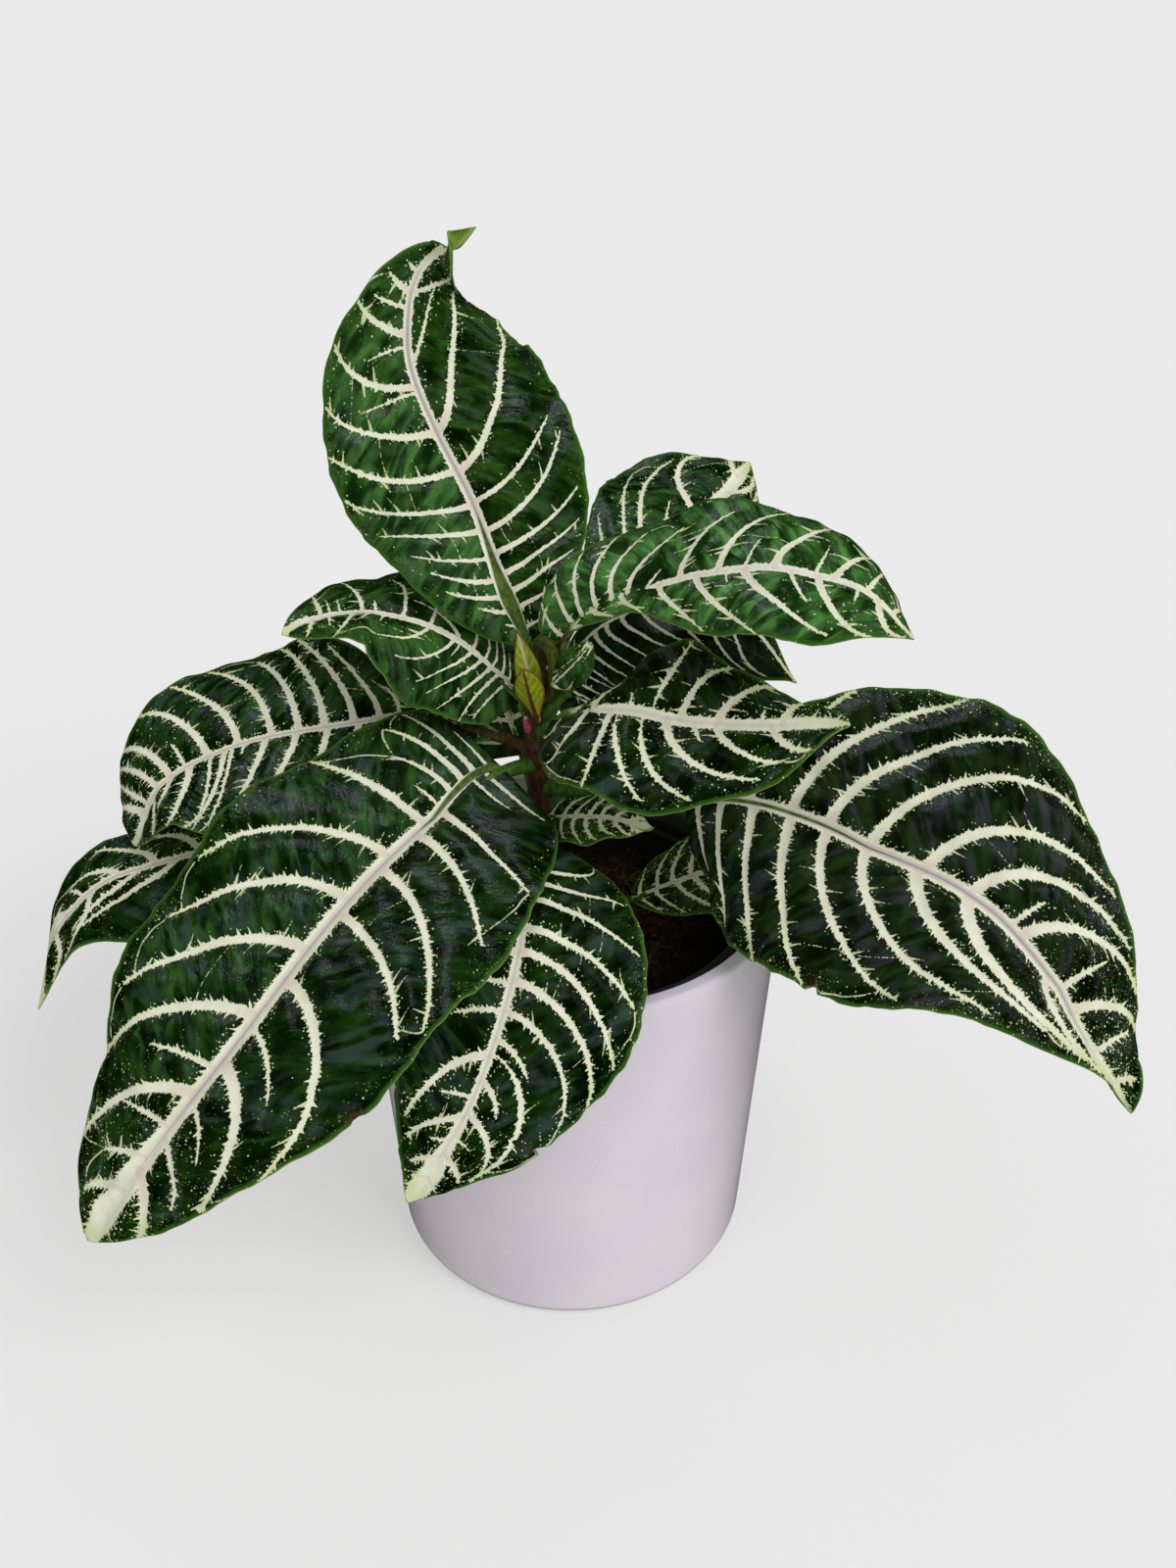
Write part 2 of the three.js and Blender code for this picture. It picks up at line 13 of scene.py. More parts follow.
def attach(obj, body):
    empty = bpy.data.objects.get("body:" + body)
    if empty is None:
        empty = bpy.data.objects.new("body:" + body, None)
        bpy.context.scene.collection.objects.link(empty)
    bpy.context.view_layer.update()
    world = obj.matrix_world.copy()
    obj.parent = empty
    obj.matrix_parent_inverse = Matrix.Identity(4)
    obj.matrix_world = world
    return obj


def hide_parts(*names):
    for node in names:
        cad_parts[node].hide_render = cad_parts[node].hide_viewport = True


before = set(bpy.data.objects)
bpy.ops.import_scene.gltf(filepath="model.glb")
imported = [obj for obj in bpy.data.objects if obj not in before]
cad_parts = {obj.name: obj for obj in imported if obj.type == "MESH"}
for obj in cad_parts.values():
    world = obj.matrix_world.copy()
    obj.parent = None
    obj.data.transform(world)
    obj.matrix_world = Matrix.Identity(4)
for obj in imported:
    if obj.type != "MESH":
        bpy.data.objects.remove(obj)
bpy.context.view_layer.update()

MM = 0.001

# ---- the leaves' shapes, as in the CAD ----

# node: height on the stem where the stalk starts. thick: the stalk's radius. stalk: points that it passes.
# rib: midrib from base to tip. up: directions that the upper face looks in, at even stations. left, right:
# greatest half-width, station of that width, fullness at the base and at the tip. tilt: lift of each half in
# degrees. curl: roll of each margin in degrees. wave: ripple of the margin, height, count and phase. twist:
# stations where the tip starts and stops turning about the rib, and the turn in degrees.
LEAF_DEFAULTS = dict(tilt=((5, 5), (5, 5)), curl=(15, 15), wave=(1, 3, 0))
LEAVES = {
    "leaf_top": dict(
        node=209, thick=2.2,
        rib="-12 4 226, -21 18 241, -30 34 260, -41 46 278, -49 56 296, -49 62 312, -46 66 321, "
            "-41 69 326, -34 70 329, -28 70 334",
        up="-0.1 -0.85 0.5, 0.1 -0.85 0.5, 0.2 -0.8 0.55", left=(36.5, 0.44, 0.8, 1.75),
        right=(41, 0.5, 0.42, 0.95), tilt=((15, 12, 15), (15, 5, -5)), curl=(20, 20), wave=(3, 3, 0),
        twist=(0.9, 0.95, -125)),
    "leaf_right_upper": dict(
        node=207, thick=2.2, stalk="-5 -1 214",
        rib="-4 -4 225, 0 -8 237, 6 -12 246, 17 -16 254, 29 -22 260, 54 -33 267, 78 -42 263, 93 -49 254",
        up="-0.2 -0.7 0.6, -0.2 -0.4 1, 0.2 -0.4 1, 0.4 -0.2 0.9", left=(27.5, 0.58, 0.42, 0.75),
        right=(21, 0.68, 0.8, 1), tilt=((20, 15, 5), (-15, -10, -10)), curl=(25, 25), wave=(2, 3, 0)),
    "leaf_right_inner": dict(
        node=201, thick=1.8, rib="-1 -1 212, 8 -1 224, 23 -4 232, 43 -8 235, 68 -14 222",
        up="-0.4 -0.5 0.7, 0 -0.3 0.9", left=(22, 0.5, 0.6, 0.9), right=(26, 0.34, 0.6, 1.2),
        tilt=((0, 0, 0), (-50, -60, -40)), curl=(20, 10)),
    "leaf_right_mid": dict(
        node=196, thick=2, rib="-5 -9 207, 6 -20 216, 18 -27 219, 34 -33 218, 57 -38 219, 80 -41 223",
        up="-0.2 -0.3 0.9, 0 -0.4 0.9", left=(26, 0.48, 4, 0.6), right=(28, 0.4, 0.4, 1.1),
        tilt=((10, 32, 10), (0, -5, 0)), curl=(20, 25), wave=(2, 3, 0.2)),
    "leaf_back_right": dict(
        node=190, thick=2, stalk="-4 5 205", rib="6 12 226, 22 36 235, 42 67 242, 62 95 250",
        up="0 -0.5 0.9, 0.2 -0.4 0.9", left=(31, 0.6, 0.6, 1), right=(30, 0.5, 0.6, 1),
        tilt=((10, 10), (10, 10)), curl=(20, 20), wave=(2, 3, 0)),
    "leaf_right_low": dict(
        node=178, thick=2.6, stalk="12 -6 177",
        rib="36 -14 179, 48 -20 185, 65 -28 186, 87 -40 182, 120 -60 168, 150 -78 140, 165 -86 118",
        up="0 -0.6 0.8, 0.25 -0.7 0.7, 0.6 -0.5 0.6", left=(56.5, 0.42, 1.6, 0.85),
        right=(47, 0.31, 0.7, 1.5), tilt=((20, 15, 20), (0, 0, 15)), curl=(10, 25), wave=(3, 3, 0.1),
        twist=(0.93, 1, 90)),
    "leaf_front_left": dict(
        node=186, thick=2.6,
        rib="-20 -9 189, -41 -28 183, -65 -60 173, -91 -95 153, -114 -115 130, -132 -124 107",
        up="-0.1 -0.5 0.85, -0.2 -0.6 0.75, -0.4 -0.6 0.7", left=(48, 0.36, 0.3, 0.75),
        right=(49, 0.42, 0.3, 0.6), tilt=((8, 5, 0), (12, 10, 0)), wave=(4, 3.2, 0)),
    "leaf_front": dict(
        node=170, thick=2, stalk="-10 -14 174",
        rib="-9 -28 175, -13 -52 170, -18 -74 155, -28 -92 130, -39 -98 109, -47 -100 96",
        up="0.1 -0.6 0.8, 0.2 -0.8 0.6, 0.2 -0.95 0.3", left=(42, 0.4, 0.55, 0.9),
        right=(28, 0.45, 0.55, 0.9), tilt=((5, 5, 0), (0, 0, 0)), wave=(2, 3, 0)),
    "leaf_left_mid": dict(
        node=190, thick=2.4,
        rib="-21 4 194, -34 6 196, -51 10 198, -67 10 196, -96 10 191, -114 8 186, -133 2 177, "
            "-141 -4 157",
        up="0 -0.3 0.95, -0.2 -0.3 0.9, -0.5 -0.3 0.8", left=(36, 0.6, 0.8, 0.75), right=(36, 0.6, 1, 0.65),
        tilt=((-15, 0, 5), (10, 28, 10, 15)), wave=(4, 2.9, 0.88)),
    "leaf_left_low": dict(
        node=156, thick=2.2, stalk="-30 0 164",
        rib="-57 0 167, -89 -5 160, -126 -10 152, -156 -20 141, -173 -30 110",
        up="0 -0.3 0.95, -0.3 -0.3 0.9", left=(27, 0.42, 0.6, 1.9), right=(25, 0.57, 0.7, 1.3),
        tilt=((0, 0), (5, 5)), curl=(20, 20), wave=(2, 3, 0)),
    "leaf_left_upper": dict(
        node=198, thick=1.5, stalk="-13 0 203",
        rib="-15 1 207, -30 8 222, -43 12 229, -55 14 232, -64 14 233, -74 12 232, -88 8 227",
        up="0.5 -0.7 0.6, 0.3 -0.7 0.7, 0 0.1 1, 0 -0.2 1", left=(27, 0.42, 0.4, 0.9),
        right=(28, 0.5, 0.9, 0.8), tilt=((0, 0, 0), (5, 5, 10))),
    "leaf_back_left": dict(
        node=196, thick=1.8, rib="-20 18 218, -32 35 226, -45 54 221, -62 72 210",
        up="0 -0.3 0.9, 0 -0.3 0.9", left=(22, 0.5, 0.6, 1), right=(22, 0.5, 0.6, 1)),
    "leaf_back_low_left": dict(
        node=168, thick=2.2, rib="-15 20 177, -27 52 186, -40 86 175, -54 116 150",
        up="0 0 1, -0.2 0.4 0.8", left=(37, 0.4, 0.4, 1), right=(30, 0.5, 0.8, 1), wave=(2, 3, 0)),
    "leaf_back_low_right": dict(
        node=164, thick=2.2, rib="10 26 178, 22 54 182, 38 84 170, 54 112 144",
        up="0 0 1, 0.2 0.4 0.8", left=(34, 0.45, 0.6, 1), right=(34, 0.45, 0.6, 1), wave=(2, 3, 0.3)),
    "leaf_inner_small": dict(
        node=162, thick=1.4, rib="-7 -11 173, 3 -17 177, 14 -23 180, 26 -27 179",
        up="0 -0.3 0.9, 0 -0.3 0.9", left=(11, 0.4, 0.4, 1), right=(11, 0.4, 0.4, 1), tilt=((5, 5), (0, 0))),
    "leaf_inner_low": dict(
        node=134, thick=1.8, rib="20 -14 143, 33 -12 148, 52 -8 152, 74 -2 152",
        up="0 -0.3 0.9, 0 -0.3 0.9", left=(16, 0.5, 0.6, 1), right=(16, 0.5, 0.6, 1), tilt=((5, 5), (0, 0))),
}
YOUNG_LEAVES = {
    "young_leaf_back": dict(
        node=212, thick=1.1, rib="-11 -5 212, -12 -8 223, -15 -9 237",
        up="0 -1 0.3, 0 -1 0.3", left=(4, 0.4, 0.8, 1.2), right=(4, 0.4, 0.8, 1.2),
        tilt=((10, 10), (10, 10)), curl=(0, 0), wave=(0, 3, 0)),
    "young_leaf_front": dict(
        node=209, thick=1.1, rib="-9 -10 208, -11 -13 217, -13 -14 227",
        up="0 1 0.3, 0 1 0.3", left=(4.5, 0.6, 0.9, 0.8), right=(4.5, 0.6, 0.9, 0.8),
        curl=(0, 0), wave=(0, 3, 0)),
}
# The lobe that hangs from the curled base of the upper right leaf.
BASE_LOBE = dict(
    node=207, thick=2.8, stalk="-9 -2 220, -8 -3 230, -4.5 -9 229",
    rib="-5 -12 220, -1 -15.5 226, 3 -16.5 231, 7 -15 236",
    up="-0.3 -0.9 0.3, -0.1 -0.9 0.4", left=(6, 0.5, 0.5, 0.5), right=(7, 0.45, 0.5, 0.6),
    tilt=((0, -10, -20), (0, -10, -20)), curl=(60, 60), wave=(0.4, 2, 0))
STEM = {"path": "-4 0 96, -8 1 140, -10 0 180, -11 0 219", "soil": 4.6, "top": 2.6, "tip": 1.0}
BUD = {"path": "-11 -2 195, -12 -6 199, -13 -9 208", "stalk": 0.8, "tip": 0.3, "neck": 0.5, "swell": 0.9}
SEAT = (0, 0.06, 0.12)
STALK_SAMPLES = 64
SINK = 0.6
TAPER = 0.4
SWEEP = 0.16
HAND_PHASE = 1.3

# ---- the vein pattern of each leaf ----

# Stations, reaches and widths are in hundredths. left, right: for each side vein the station of its root,
# station and reach of its end, width against a main vein's, and 1 where its root is thin. start: station of
# the blade where the pattern's stations start. shift: where the visible rib runs, station and reach. rib:
# half-width of its pale band, station and mm. band: width of a main vein on this leaf. thorn: length of the
# teeth on the bands, and the stations between which they grow in. core: half-width of the green middle of
# the rib. puff: height of the swellings between veins. freckle: how dense the pale freckles are towards the
# tip and the margins. glow: how much lighter the left and the right half are, partly a paler green of the
# leaf and partly painted sheen. lilac: strength of the grey line in the rib. loops: share of the veins whose
# ends are joined by a loop.
PATTERN_DEFAULTS = dict(start=0, loops=0.12, shift="0 0", core="0 0.4, 20 0")
PLAIN_RIB = "0 0.7, 30 1.2, 70 1.1, 90 1.7, 96 2, 100 1"
PATTERNS = {
    "leaf_front_left": dict(
        band=0.86, thorn=(1, 0.08, 0.2), puff=1.9, freckle=0.8, glow=(0.05, 0.22), lilac=0.8, loops=0.7,
        shift="0 12, 5 12, 15 0",
        rib="0 1.2, 15 1.9, 30 2.3, 50 2.2, 70 2.1, 80 2.4, 85 3, 90 3.8, 95 4.2, 100 2",
        core="0 1.6, 10 1, 17 0.3, 20 0",
        left="3 1.7 80 50, 5.5 4.5 40 40, 13.5 17 93 100, 19.5 30 84 100, 28.5 48 95 100, 38.5 51 85 100, "
             "51.5 75 100 110, 60 67.5 50 40, 66.5 84 96 130, 73.5 79.5 50 30, 80 86.7 75 50, "
             "86 93.75 100 130",
        right="2 2.5 75 40, 4.5 7.3 98 70, 7 10.4 89 80, 9.8 12.5 62 70, 13 13.5 30 30, 17 19.6 100 100, "
              "25.7 42.5 96 100, 35.7 52.5 89 110, 46 66.7 91 120, 58.5 78.3 100 120, 68 71.25 53 50, "
              "72.5 90 100 130, 78.5 81 60 40, 84 88.3 53 60, 90 95.4 78 80"),
    "leaf_right_low": dict(
        band=0.92, thorn=(1, 0.05, 0.2), puff=1.8, freckle=1.3, glow=(0.05, 0.05), lilac=1,
        shift="0 0, 35 0, 50 -7, 60 -10, 75 -10, 83 0, 90 20",
        rib="0 0.9, 12 1.5, 30 2.1, 60 1.9, 80 1.6, 93 1.2, 100 0.4", core="0 0.8, 10 0.6, 30 0.4, 45 0",
        left="7 12 90 70, 13 23.3 100 100, 20.8 37 100 100, 27.5 47.5 93 100, 35.4 60 98 100, "
             "45.4 70.8 94 110, 53.75 78.3 93 110, 61.7 63.3 40 40, 64.2 85 100 110, 75 77 63 50, "
             "79 89.6 100 100, 86.7 88.3 73 50, 93 95 70 50",
        right="3 5 90 70, 7.9 14 95 90, 14.2 25.4 100 100, 21.25 38.3 100 110, 27.9 55 91 100, "
              "35.4 69 82 100, 44.6 78 62 130, 54 86.7 64 150, 72 90 70 80, 84 94 70 70"),
    "leaf_top": dict(
        band=0.68, thorn=(0.7, 0.25, 0.5), puff=1.5, freckle=0.5, glow=(0.58, 0.08), lilac=0.9,
        rib="0 1.2, 10 2.9, 25 1.9, 40 1.6, 60 1.35, 80 1.2, 100 0.8",
        core="0 1.2, 10 2.4, 20 1, 30 0.2, 34 0",
        left="4.5 5.8 36 70, 8 11.25 53 90, 11.7 16.7 73 90, 15.4 21.25 73 90, 20.4 26.25 79 70, "
             "26.7 34.6 89 100, 32.5 45.4 98 100, 40.8 53.75 100 100, 50 62 98 100, 59.2 58.8 62 30, "
             "60.4 69.6 97 100, 68.75 66.7 50 30, 71.25 77 100 100, 76.7 78 73 50, 80 82 73 80, "
             "84.2 85 55 40, 90 92 70 50",
        right="3.3 3.3 55 60, 7.9 8.3 67 90, 11.8 15.2 91 100, 16 22.5 93 100, 20.8 28.75 93 100, "
              "26.25 38.3 89 100, 32.9 42.5 85 70, 40.4 78.3 100 120, 50 85 56 130, 65 85 28 40, "
              "80 93 70 60"),
    "leaf_front": dict(
        band=0.62, thorn=(0.9, 0.1, 0.3), puff=1.6, freckle=0.8, glow=(0.03, 0.05), lilac=0.35,
        shift="0 0, 30 -4", rib="0 0.6, 40 1.3, 70 1.1, 80 1.8, 90 3.2, 96 3.2, 100 1", core="0 0.5, 20 0",
        left="10 3.3 95 80, 14 13.75 93 100, 19 26.7 94 100, 26.7 39 94 110, 32.5 53 95 110, "
             "39.6 63.3 100 110, 46.7 71.25 96 80, 53.3 60 38 80, 56.7 88.3 89 120 1, 63.3 70.8 33 80, "
             "71.7 84 75 100, 78.3 80 33 30, 83.75 89.6 75 90, 91 93.75 50 80",
        right="6 8 90 80, 12 17 90 90, 18 26 92 100, 25 36 93 100, 33 46 93 100, 40.4 41.7 33 50, "
              "47 50.4 44 70, 57.5 79 84 130, 67.5 68.75 40 50, 73 84 78 120, 79.6 81 33 40, "
              "84.6 89 67 90, 91 92.5 55 70"),
    "leaf_right_mid": dict(
        band=0.63, thorn=(0.8, 0.05, 0.3), puff=1.3, freckle=0.5, glow=(0, 0), lilac=0.25,
        shift="0 0, 30 -5, 50 -6, 65 -10, 80 -17, 88 -24",
        rib="0 0, 19 0, 23 1.3, 30 1.7, 60 1.6, 80 1.7, 88 1.9, 95 1.4, 99 0.2",
        left="10 16 90 70, 20 27 90 80, 33 33 35 40, 40 46.7 100 100 1, 49.3 63.3 100 110, "
             "60.8 78 100 130, 73.3 75 45 40, 80 86.7 100 120",
        right="6 0 70 60, 18 6.7 91 100, 27.5 26.7 100 100, 30 45.8 89 100 1, 38 57.5 91 100 1, "
              "45.4 74.2 81 120, 54 57 20 50, 60.4 80 66 100, 76.7 88.3 84 110"),
    "leaf_right_upper": dict(
        band=0.66, thorn=(0.25, 0.4, 0.7), puff=1.1, freckle=0.2, glow=(0.95, 0.95), lilac=0.15,
        shift="0 20, 37 20, 47 4, 57 0, 67 -5, 75 -9, 82 -18, 88 -25",
        rib="0 0, 36 0, 39 1.1, 60 1.3, 85 1.2, 100 0.8", core="0 0.4, 30 0",
        left="3 2 100 90, 7.5 9.6 100 90, 12.75 15.2 100 90, 16.8 22 100 90, 21.7 28.3 100 90, "
             "26.25 34.2 82 90, 30.8 43.75 66 90, 36.7 40 11 60, 44.6 54.2 80 100, 53.75 64.2 100 100, "
             "60 61.7 42 40, 66.25 74.2 100 110, 75 75.6 60 40, 79 83.75 100 100, 86.25 87 100 50, "
             "93 94 80 60",
        right="5 6 90 80, 12 15 90 80, 20 26 95 90, 29 36.7 100 100, 39.8 51.7 96 100, 48.75 67.5 100 100, "
              "55.8 56.8 24 40, 60 83.3 84 120, 70 76.25 40 60, 75.8 93 100 110, 84.5 85.2 20 30, "
              "89 98.5 100 110"),
    "leaf_left_mid": dict(
        band=0.7, thorn=(0.8, 0.2, 0.5), puff=1.4, freckle=0.6, glow=(0.1, 0.2), lilac=0.5, start=9,
        shift="0 0, 30 -4, 50 -4, 70 -6, 80 -12, 90 -20", rib=PLAIN_RIB,
        core="0 0.5, 20 0",
        left="5 8 90 80, 12 17 90 90, 19 26 92 90, 27 36 93 100, 35 46 93 100, 43 56 94 100, 51 66 95 100, "
             "56.7 57.5 20 50, 60 76 100 50, 62 80.4 100 80, 66 78 100 50, 71.7 86.7 100 110, "
             "77 85.4 50 90, 84 93 90 80",
        right="5 7 90 80, 11.7 12.9 16 50, 16.8 20 53 60, 21.7 34.2 89 90, 28.3 43 100 100, "
              "35.8 47.9 100 100, 42.5 53.3 91 100, 49.6 63.3 100 90, 58.3 71.25 100 100, "
              "66.7 78.75 100 110, 73 74.6 33 40, 77.5 84 100 100, 82 87 100 60, 87.5 89.6 100 60, "
              "90 94 100 120"),
    "leaf_back_right": dict(
        band=0.68, thorn=(0.8, 0.1, 0.3), puff=1.2, freckle=0.4, glow=(0.3, 0.3), lilac=0.15,
        shift="0 0, 62 0, 75 6, 83 12", rib="0 0.8, 50 1.3, 70 1.6, 80 2.1, 90 2.3, 96 1.6, 100 0.5",
        left="5 10 90 70, 12 25 90 70, 21 42 90 70, 30 67.5 89 60, 38 79 81 90, 50 63.75 31 40, "
             "65.8 90.4 100 110, 91 96.5 100 100",
        right="5 10 90 70, 13 25 90 70, 22 40 90 80, 31 55 92 90, 42 70 92 90, 54 80 92 100, 68 90 95 100, "
              "82 95 95 90"),
    "leaf_left_upper": dict(
        band=0.48, thorn=(0.4, 0.4, 0.7), puff=0.9, freckle=0.3, glow=(0.3, 0.3), lilac=0.2, start=6,
        shift="0 20, 3 20, 10 5, 20 0, 40 -3, 55 -7, 65 -11, 75 -10, 85 0, 92 20",
        rib="0 0.6, 30 1, 60 1.2, 90 1.3, 100 1.5",
        left="3 1 90 60, 7.5 3.75 100 80, 11.25 13.75 95 80, 15.8 24.6 80 80, 20.8 34.2 72 80, "
             "26 26 27 40, 29 48.75 68 80, 40 58.75 56 90, 58.3 59 27 40, 64 69 44 60, 70.8 81.7 100 100, "
             "80 81 55 60, 86.7 91.7 87 100",
        right="3 11.7 55 50, 6.7 18 53 70, 11.25 20 47 60, 15.4 23.75 42 70, 21.25 27.5 33 80, "
              "27.9 50 22 90, 40 50 80 70, 51 60 80 70, 62 63.3 20 60, 67 74 100 80, 75.8 76 30 40, "
              "79.5 80 38 40, 83 84.3 100 90"),
    "leaf_right_inner": dict(
        band=0.5, thorn=(0.05, 0, 1), puff=0.5, freckle=0, glow=(0, 0), lilac=0, shift="0 -30, 20 -60",
        rib="0 0.6, 100 0.8", core="0 0",
        left="12 15 90 70, 30 36 90 70, 48 56 90 70, 66 74 90 70",
        right="2 3 85 70, 6 6.3 90 70, 10 15 80 70, 13 20 75 80, 16.5 29.6 60 90, 20.5 35.8 50 90, "
              "24.5 45 40 90, 30.4 56 35 90, 38 66 40 90, 47 75 50 90, 57 83 60 90, 68 90 70 80"),
    "leaf_left_low": dict(
        band=0.68, thorn=(0.9, 0.1, 0.3), puff=1.2, freckle=0.6, glow=(0.05, 0.15), lilac=0.5,
        shift="0 10, 40 15, 58 22, 65 27, 75 27, 80 40, 90 100",
        rib=PLAIN_RIB,
        left="6 10 90 80, 15 22 90 80, 24 34 92 90, 33 46 93 100, 42 60 80 100, 50.4 76.7 31 100, "
             "58.5 78.3 10 90, 70 85 70 90, 82 92 80 90",
        right="6 10 90 80, 15 24 90 80, 25 36 92 90, 35 48 93 100, 45 60 95 100, 55 67 90 100, "
              "63.3 72.5 65 90, 72 74.6 67 40, 77 81.7 75 60, 77.5 88 100 100"),
}
# Leaves that are mostly hidden: an even pattern, veins on each side and width of a main vein.
EVEN_PATTERNS = {
    "leaf_back_left": (10, 0.6), "leaf_back_low_left": (11, 0.75), "leaf_back_low_right": (11, 0.75),
    "leaf_inner_small": (8, 0.45), "leaf_inner_low": (9, 0.5),
}

# ---- lines and blades ----

RIB_SAMPLES = 400
FAR = 99.0
# Sets the lines of a leaf apart in the noise along them.
LINE_STRIDE = 97.3


def rows(table):
    """The rows of a table; it may be a text."""
    return [tuple(map(float, row.split())) for row in table.split(",")] if isinstance(table, str) else table


def read(table, places, x):
    """Each column of a table at x, where its rows stand at the given places."""
    return np.stack([np.interp(x, places, column) for column in np.transpose(table)], -1)


def along(table, station):
    """A value listed against stations in hundredths."""
    return np.interp(100 * station, *zip(*rows(table)))


def between(values, station):
    """The value at a station between even stations of a list of numbers or vectors."""
    places = np.linspace(0, 1, len(values))
    return np.interp(station, places, values) if np.ndim(values) == 1 else read(values, places, station)


def smooth_line(points, samples):
    """A Catmull-Rom curve through the points at even steps of length, and its length."""
    knots = np.array(points, float)
    knots = np.vstack([2 * knots[0] - knots[1], knots, 2 * knots[-1] - knots[-2]])
    t = np.linspace(0, 1, 40, endpoint=False)[:, None]
    parts = [0.5 * (2 * b + (c - a) * t + (2 * a - 5 * b + 4 * c - d) * t**2 + (3 * b - a - 3 * c + d) * t**3)
             for a, b, c, d in zip(knots, knots[1:], knots[2:], knots[3:])]
    line = np.vstack(parts + [knots[-2:-1]])
    length = np.append(0, np.cumsum(np.linalg.norm(np.diff(line, axis=0), axis=1)))
    return read(line, length, np.linspace(0, length[-1], samples)), length[-1]


def unit(vectors):
    return vectors / np.maximum(np.linalg.norm(vectors, axis=-1, keepdims=True), 1e-9)


def smoothstep(low, high, x):
    t = np.clip((x - low) / (high - low), 0, 1)
    return t * t * (3 - 2 * t)


def half_width(edge, station):
    """Half-width of one side of a blade."""
    greatest, widest, base_end, tip_end = edge
    bent = np.clip(station, 0, 1) ** (math.log(0.5) / math.log(widest))
    return greatest * np.maximum(np.sin(np.pi * bent), 0) ** (base_end + (tip_end - base_end) * station)


class Blade:
    """The middle surface of a leaf."""

    def __init__(self, leaf):
        self.leaf = LEAF_DEFAULTS | leaf
        self.points, self.length = smooth_line(rows(leaf["rib"]), RIB_SAMPLES)
        self.stations = np.linspace(0, 1, RIB_SAMPLES)
        tangent = unit(np.gradient(self.points, axis=0))
        up = between(rows(leaf["up"]), self.stations)
        up = unit(up - (up * tangent).sum(1, keepdims=True) * tangent)
        start, end, degrees = leaf.get("twist", (0, 1, 0))
        turned = np.radians(degrees) * np.clip((self.stations - start) / (end - start), 0, 1)[:, None]
        self.normals = up * np.cos(turned) + np.cross(tangent, up) * np.sin(turned)
        self.sides = np.cross(tangent, self.normals)

    def at(self, table, station):
        return read(table, self.stations, station)

    def half(self, station, reach):
        """Half-width on the side that reach is on."""
        return np.where(reach < 0, *(half_width(self.leaf[side], station) for side in ("left", "right")))

    def point(self, station, reach, trim):
        size = np.abs(reach)
        distance = self.half(station, reach) * size * trim
        tilt = np.where(reach < 0, *(between(side, station) for side in self.leaf["tilt"]))
        angle = np.radians(tilt - np.where(reach < 0, *self.leaf["curl"]) * size / 2)
        height, count, phase = self.leaf["wave"]
        fade = size**2 * np.sqrt(np.maximum(np.sin(np.pi * station), 0))
        swing = np.sin(2 * np.pi * (count * station + phase) + HAND_PHASE * np.sign(reach))
        aside = np.sign(reach) * distance * np.cos(angle)
        lift = distance * np.sin(angle) + height * swing * fade
        return (self.at(self.points, station) + self.at(self.sides, station) * aside[..., None]
                + self.at(self.normals, station) * lift[..., None])


class Lines:
    """Tapering lines drawn on a leaf laid flat: across it in millimetres from the rib, and along it."""

    def __init__(self):
        self.parts = []
        self.segments = 0

    def add(self, points, width):
        step = np.diff(points, axis=0)
        length = np.maximum(np.hypot(*step.T), 1e-4)
        n = len(step)
        travelled = np.append(0, np.cumsum(length)[:-1]) + LINE_STRIDE * len(self.parts)
        ends = np.zeros((n, 2))
        ends[0, 0] = ends[-1, 1] = 1
        span = np.tile([self.segments, self.segments + n - 1], (n, 1))
        self.parts.append(np.column_stack([points[:-1], step / length[:, None], length, travelled, width[:-1],
                                           width[1:], ends, span]))
        self.segments += n

    def close(self):
        self.table = np.vstack(self.parts)

    def nearest(self, points):
        """Index of the segment whose edge is nearest to each point."""
        ax, ay, dx, dy, length, _, w0, w1 = self.table.T[:8]
        found = []
        for block in np.array_split(points, max(len(points) * len(ax) // 2_000_000, 1)):
            px, py = block[:, :1] - ax, block[:, 1:] - ay
            t = np.clip(px * dx + py * dy, 0, length)
            gap = np.hypot(px - t * dx, py - t * dy) - (w0 + (w1 - w0) * t / length)
            found.append(gap.argmin(1))
        return np.concatenate(found)

    def read(self, points, index):
        """Distance to the right of the line, place along it and its half-width there."""
        best = np.full(len(points), np.inf)
        result = np.zeros((len(points), 3))
        low, high = self.table[index, 10:12].astype(int).T
        for shift in (-2, -1, 0, 1, 2):
            row = self.table[np.clip(index + shift, low, high)].T
            ax, ay, dx, dy, length, travelled, w0, w1, first, last = row[:10]
            px, py = points[:, 0] - ax, points[:, 1] - ay
            free = px * dx + py * dy
            t = np.clip(free, 0, length)
            gap = np.hypot(px - t * dx, py - t * dy)
            beyond = np.maximum(free - length, 0) * last + np.maximum(-free, 0) * first
            width = w0 + (w1 - w0) * t / length - 1.5 * beyond
            value = np.stack([px * dy - py * dx, travelled + t, width], -1)
            closer = gap < best
            best = np.where(closer, gap, best)
            result[closer] = value[closer]
        return result


# ---- the pattern on a flat leaf ----

RIB_POINTS = 60
VEIN_STEPS = 16
SPUR_SPACING = 60


def vein_path(blade, pattern, hand, root, end, reach):
    """A side vein. It leaves the rib square to it and turns towards the tip."""
    t = np.linspace(0, 1, VEIN_STEPS + 1)
    start = pattern["start"] / 100
    station = start + (1 - start) * (root + (end - root) * t ** max(2.6 - 1.6 * root, 1.15))
    aside = along(pattern["shift"], root) / 100
    place = aside + (hand * reach - aside) * t
    return np.column_stack([place * blade.half(station, place), station * blade.length]), t


def curved(a, bend, b, steps=7):
    """A line from a to b that bows towards a third point."""
    s = np.linspace(0, 1, steps)[:, None]
    return (1 - s) ** 2 * a + 2 * s * (1 - s) * bend + s**2 * b, s[:, 0]


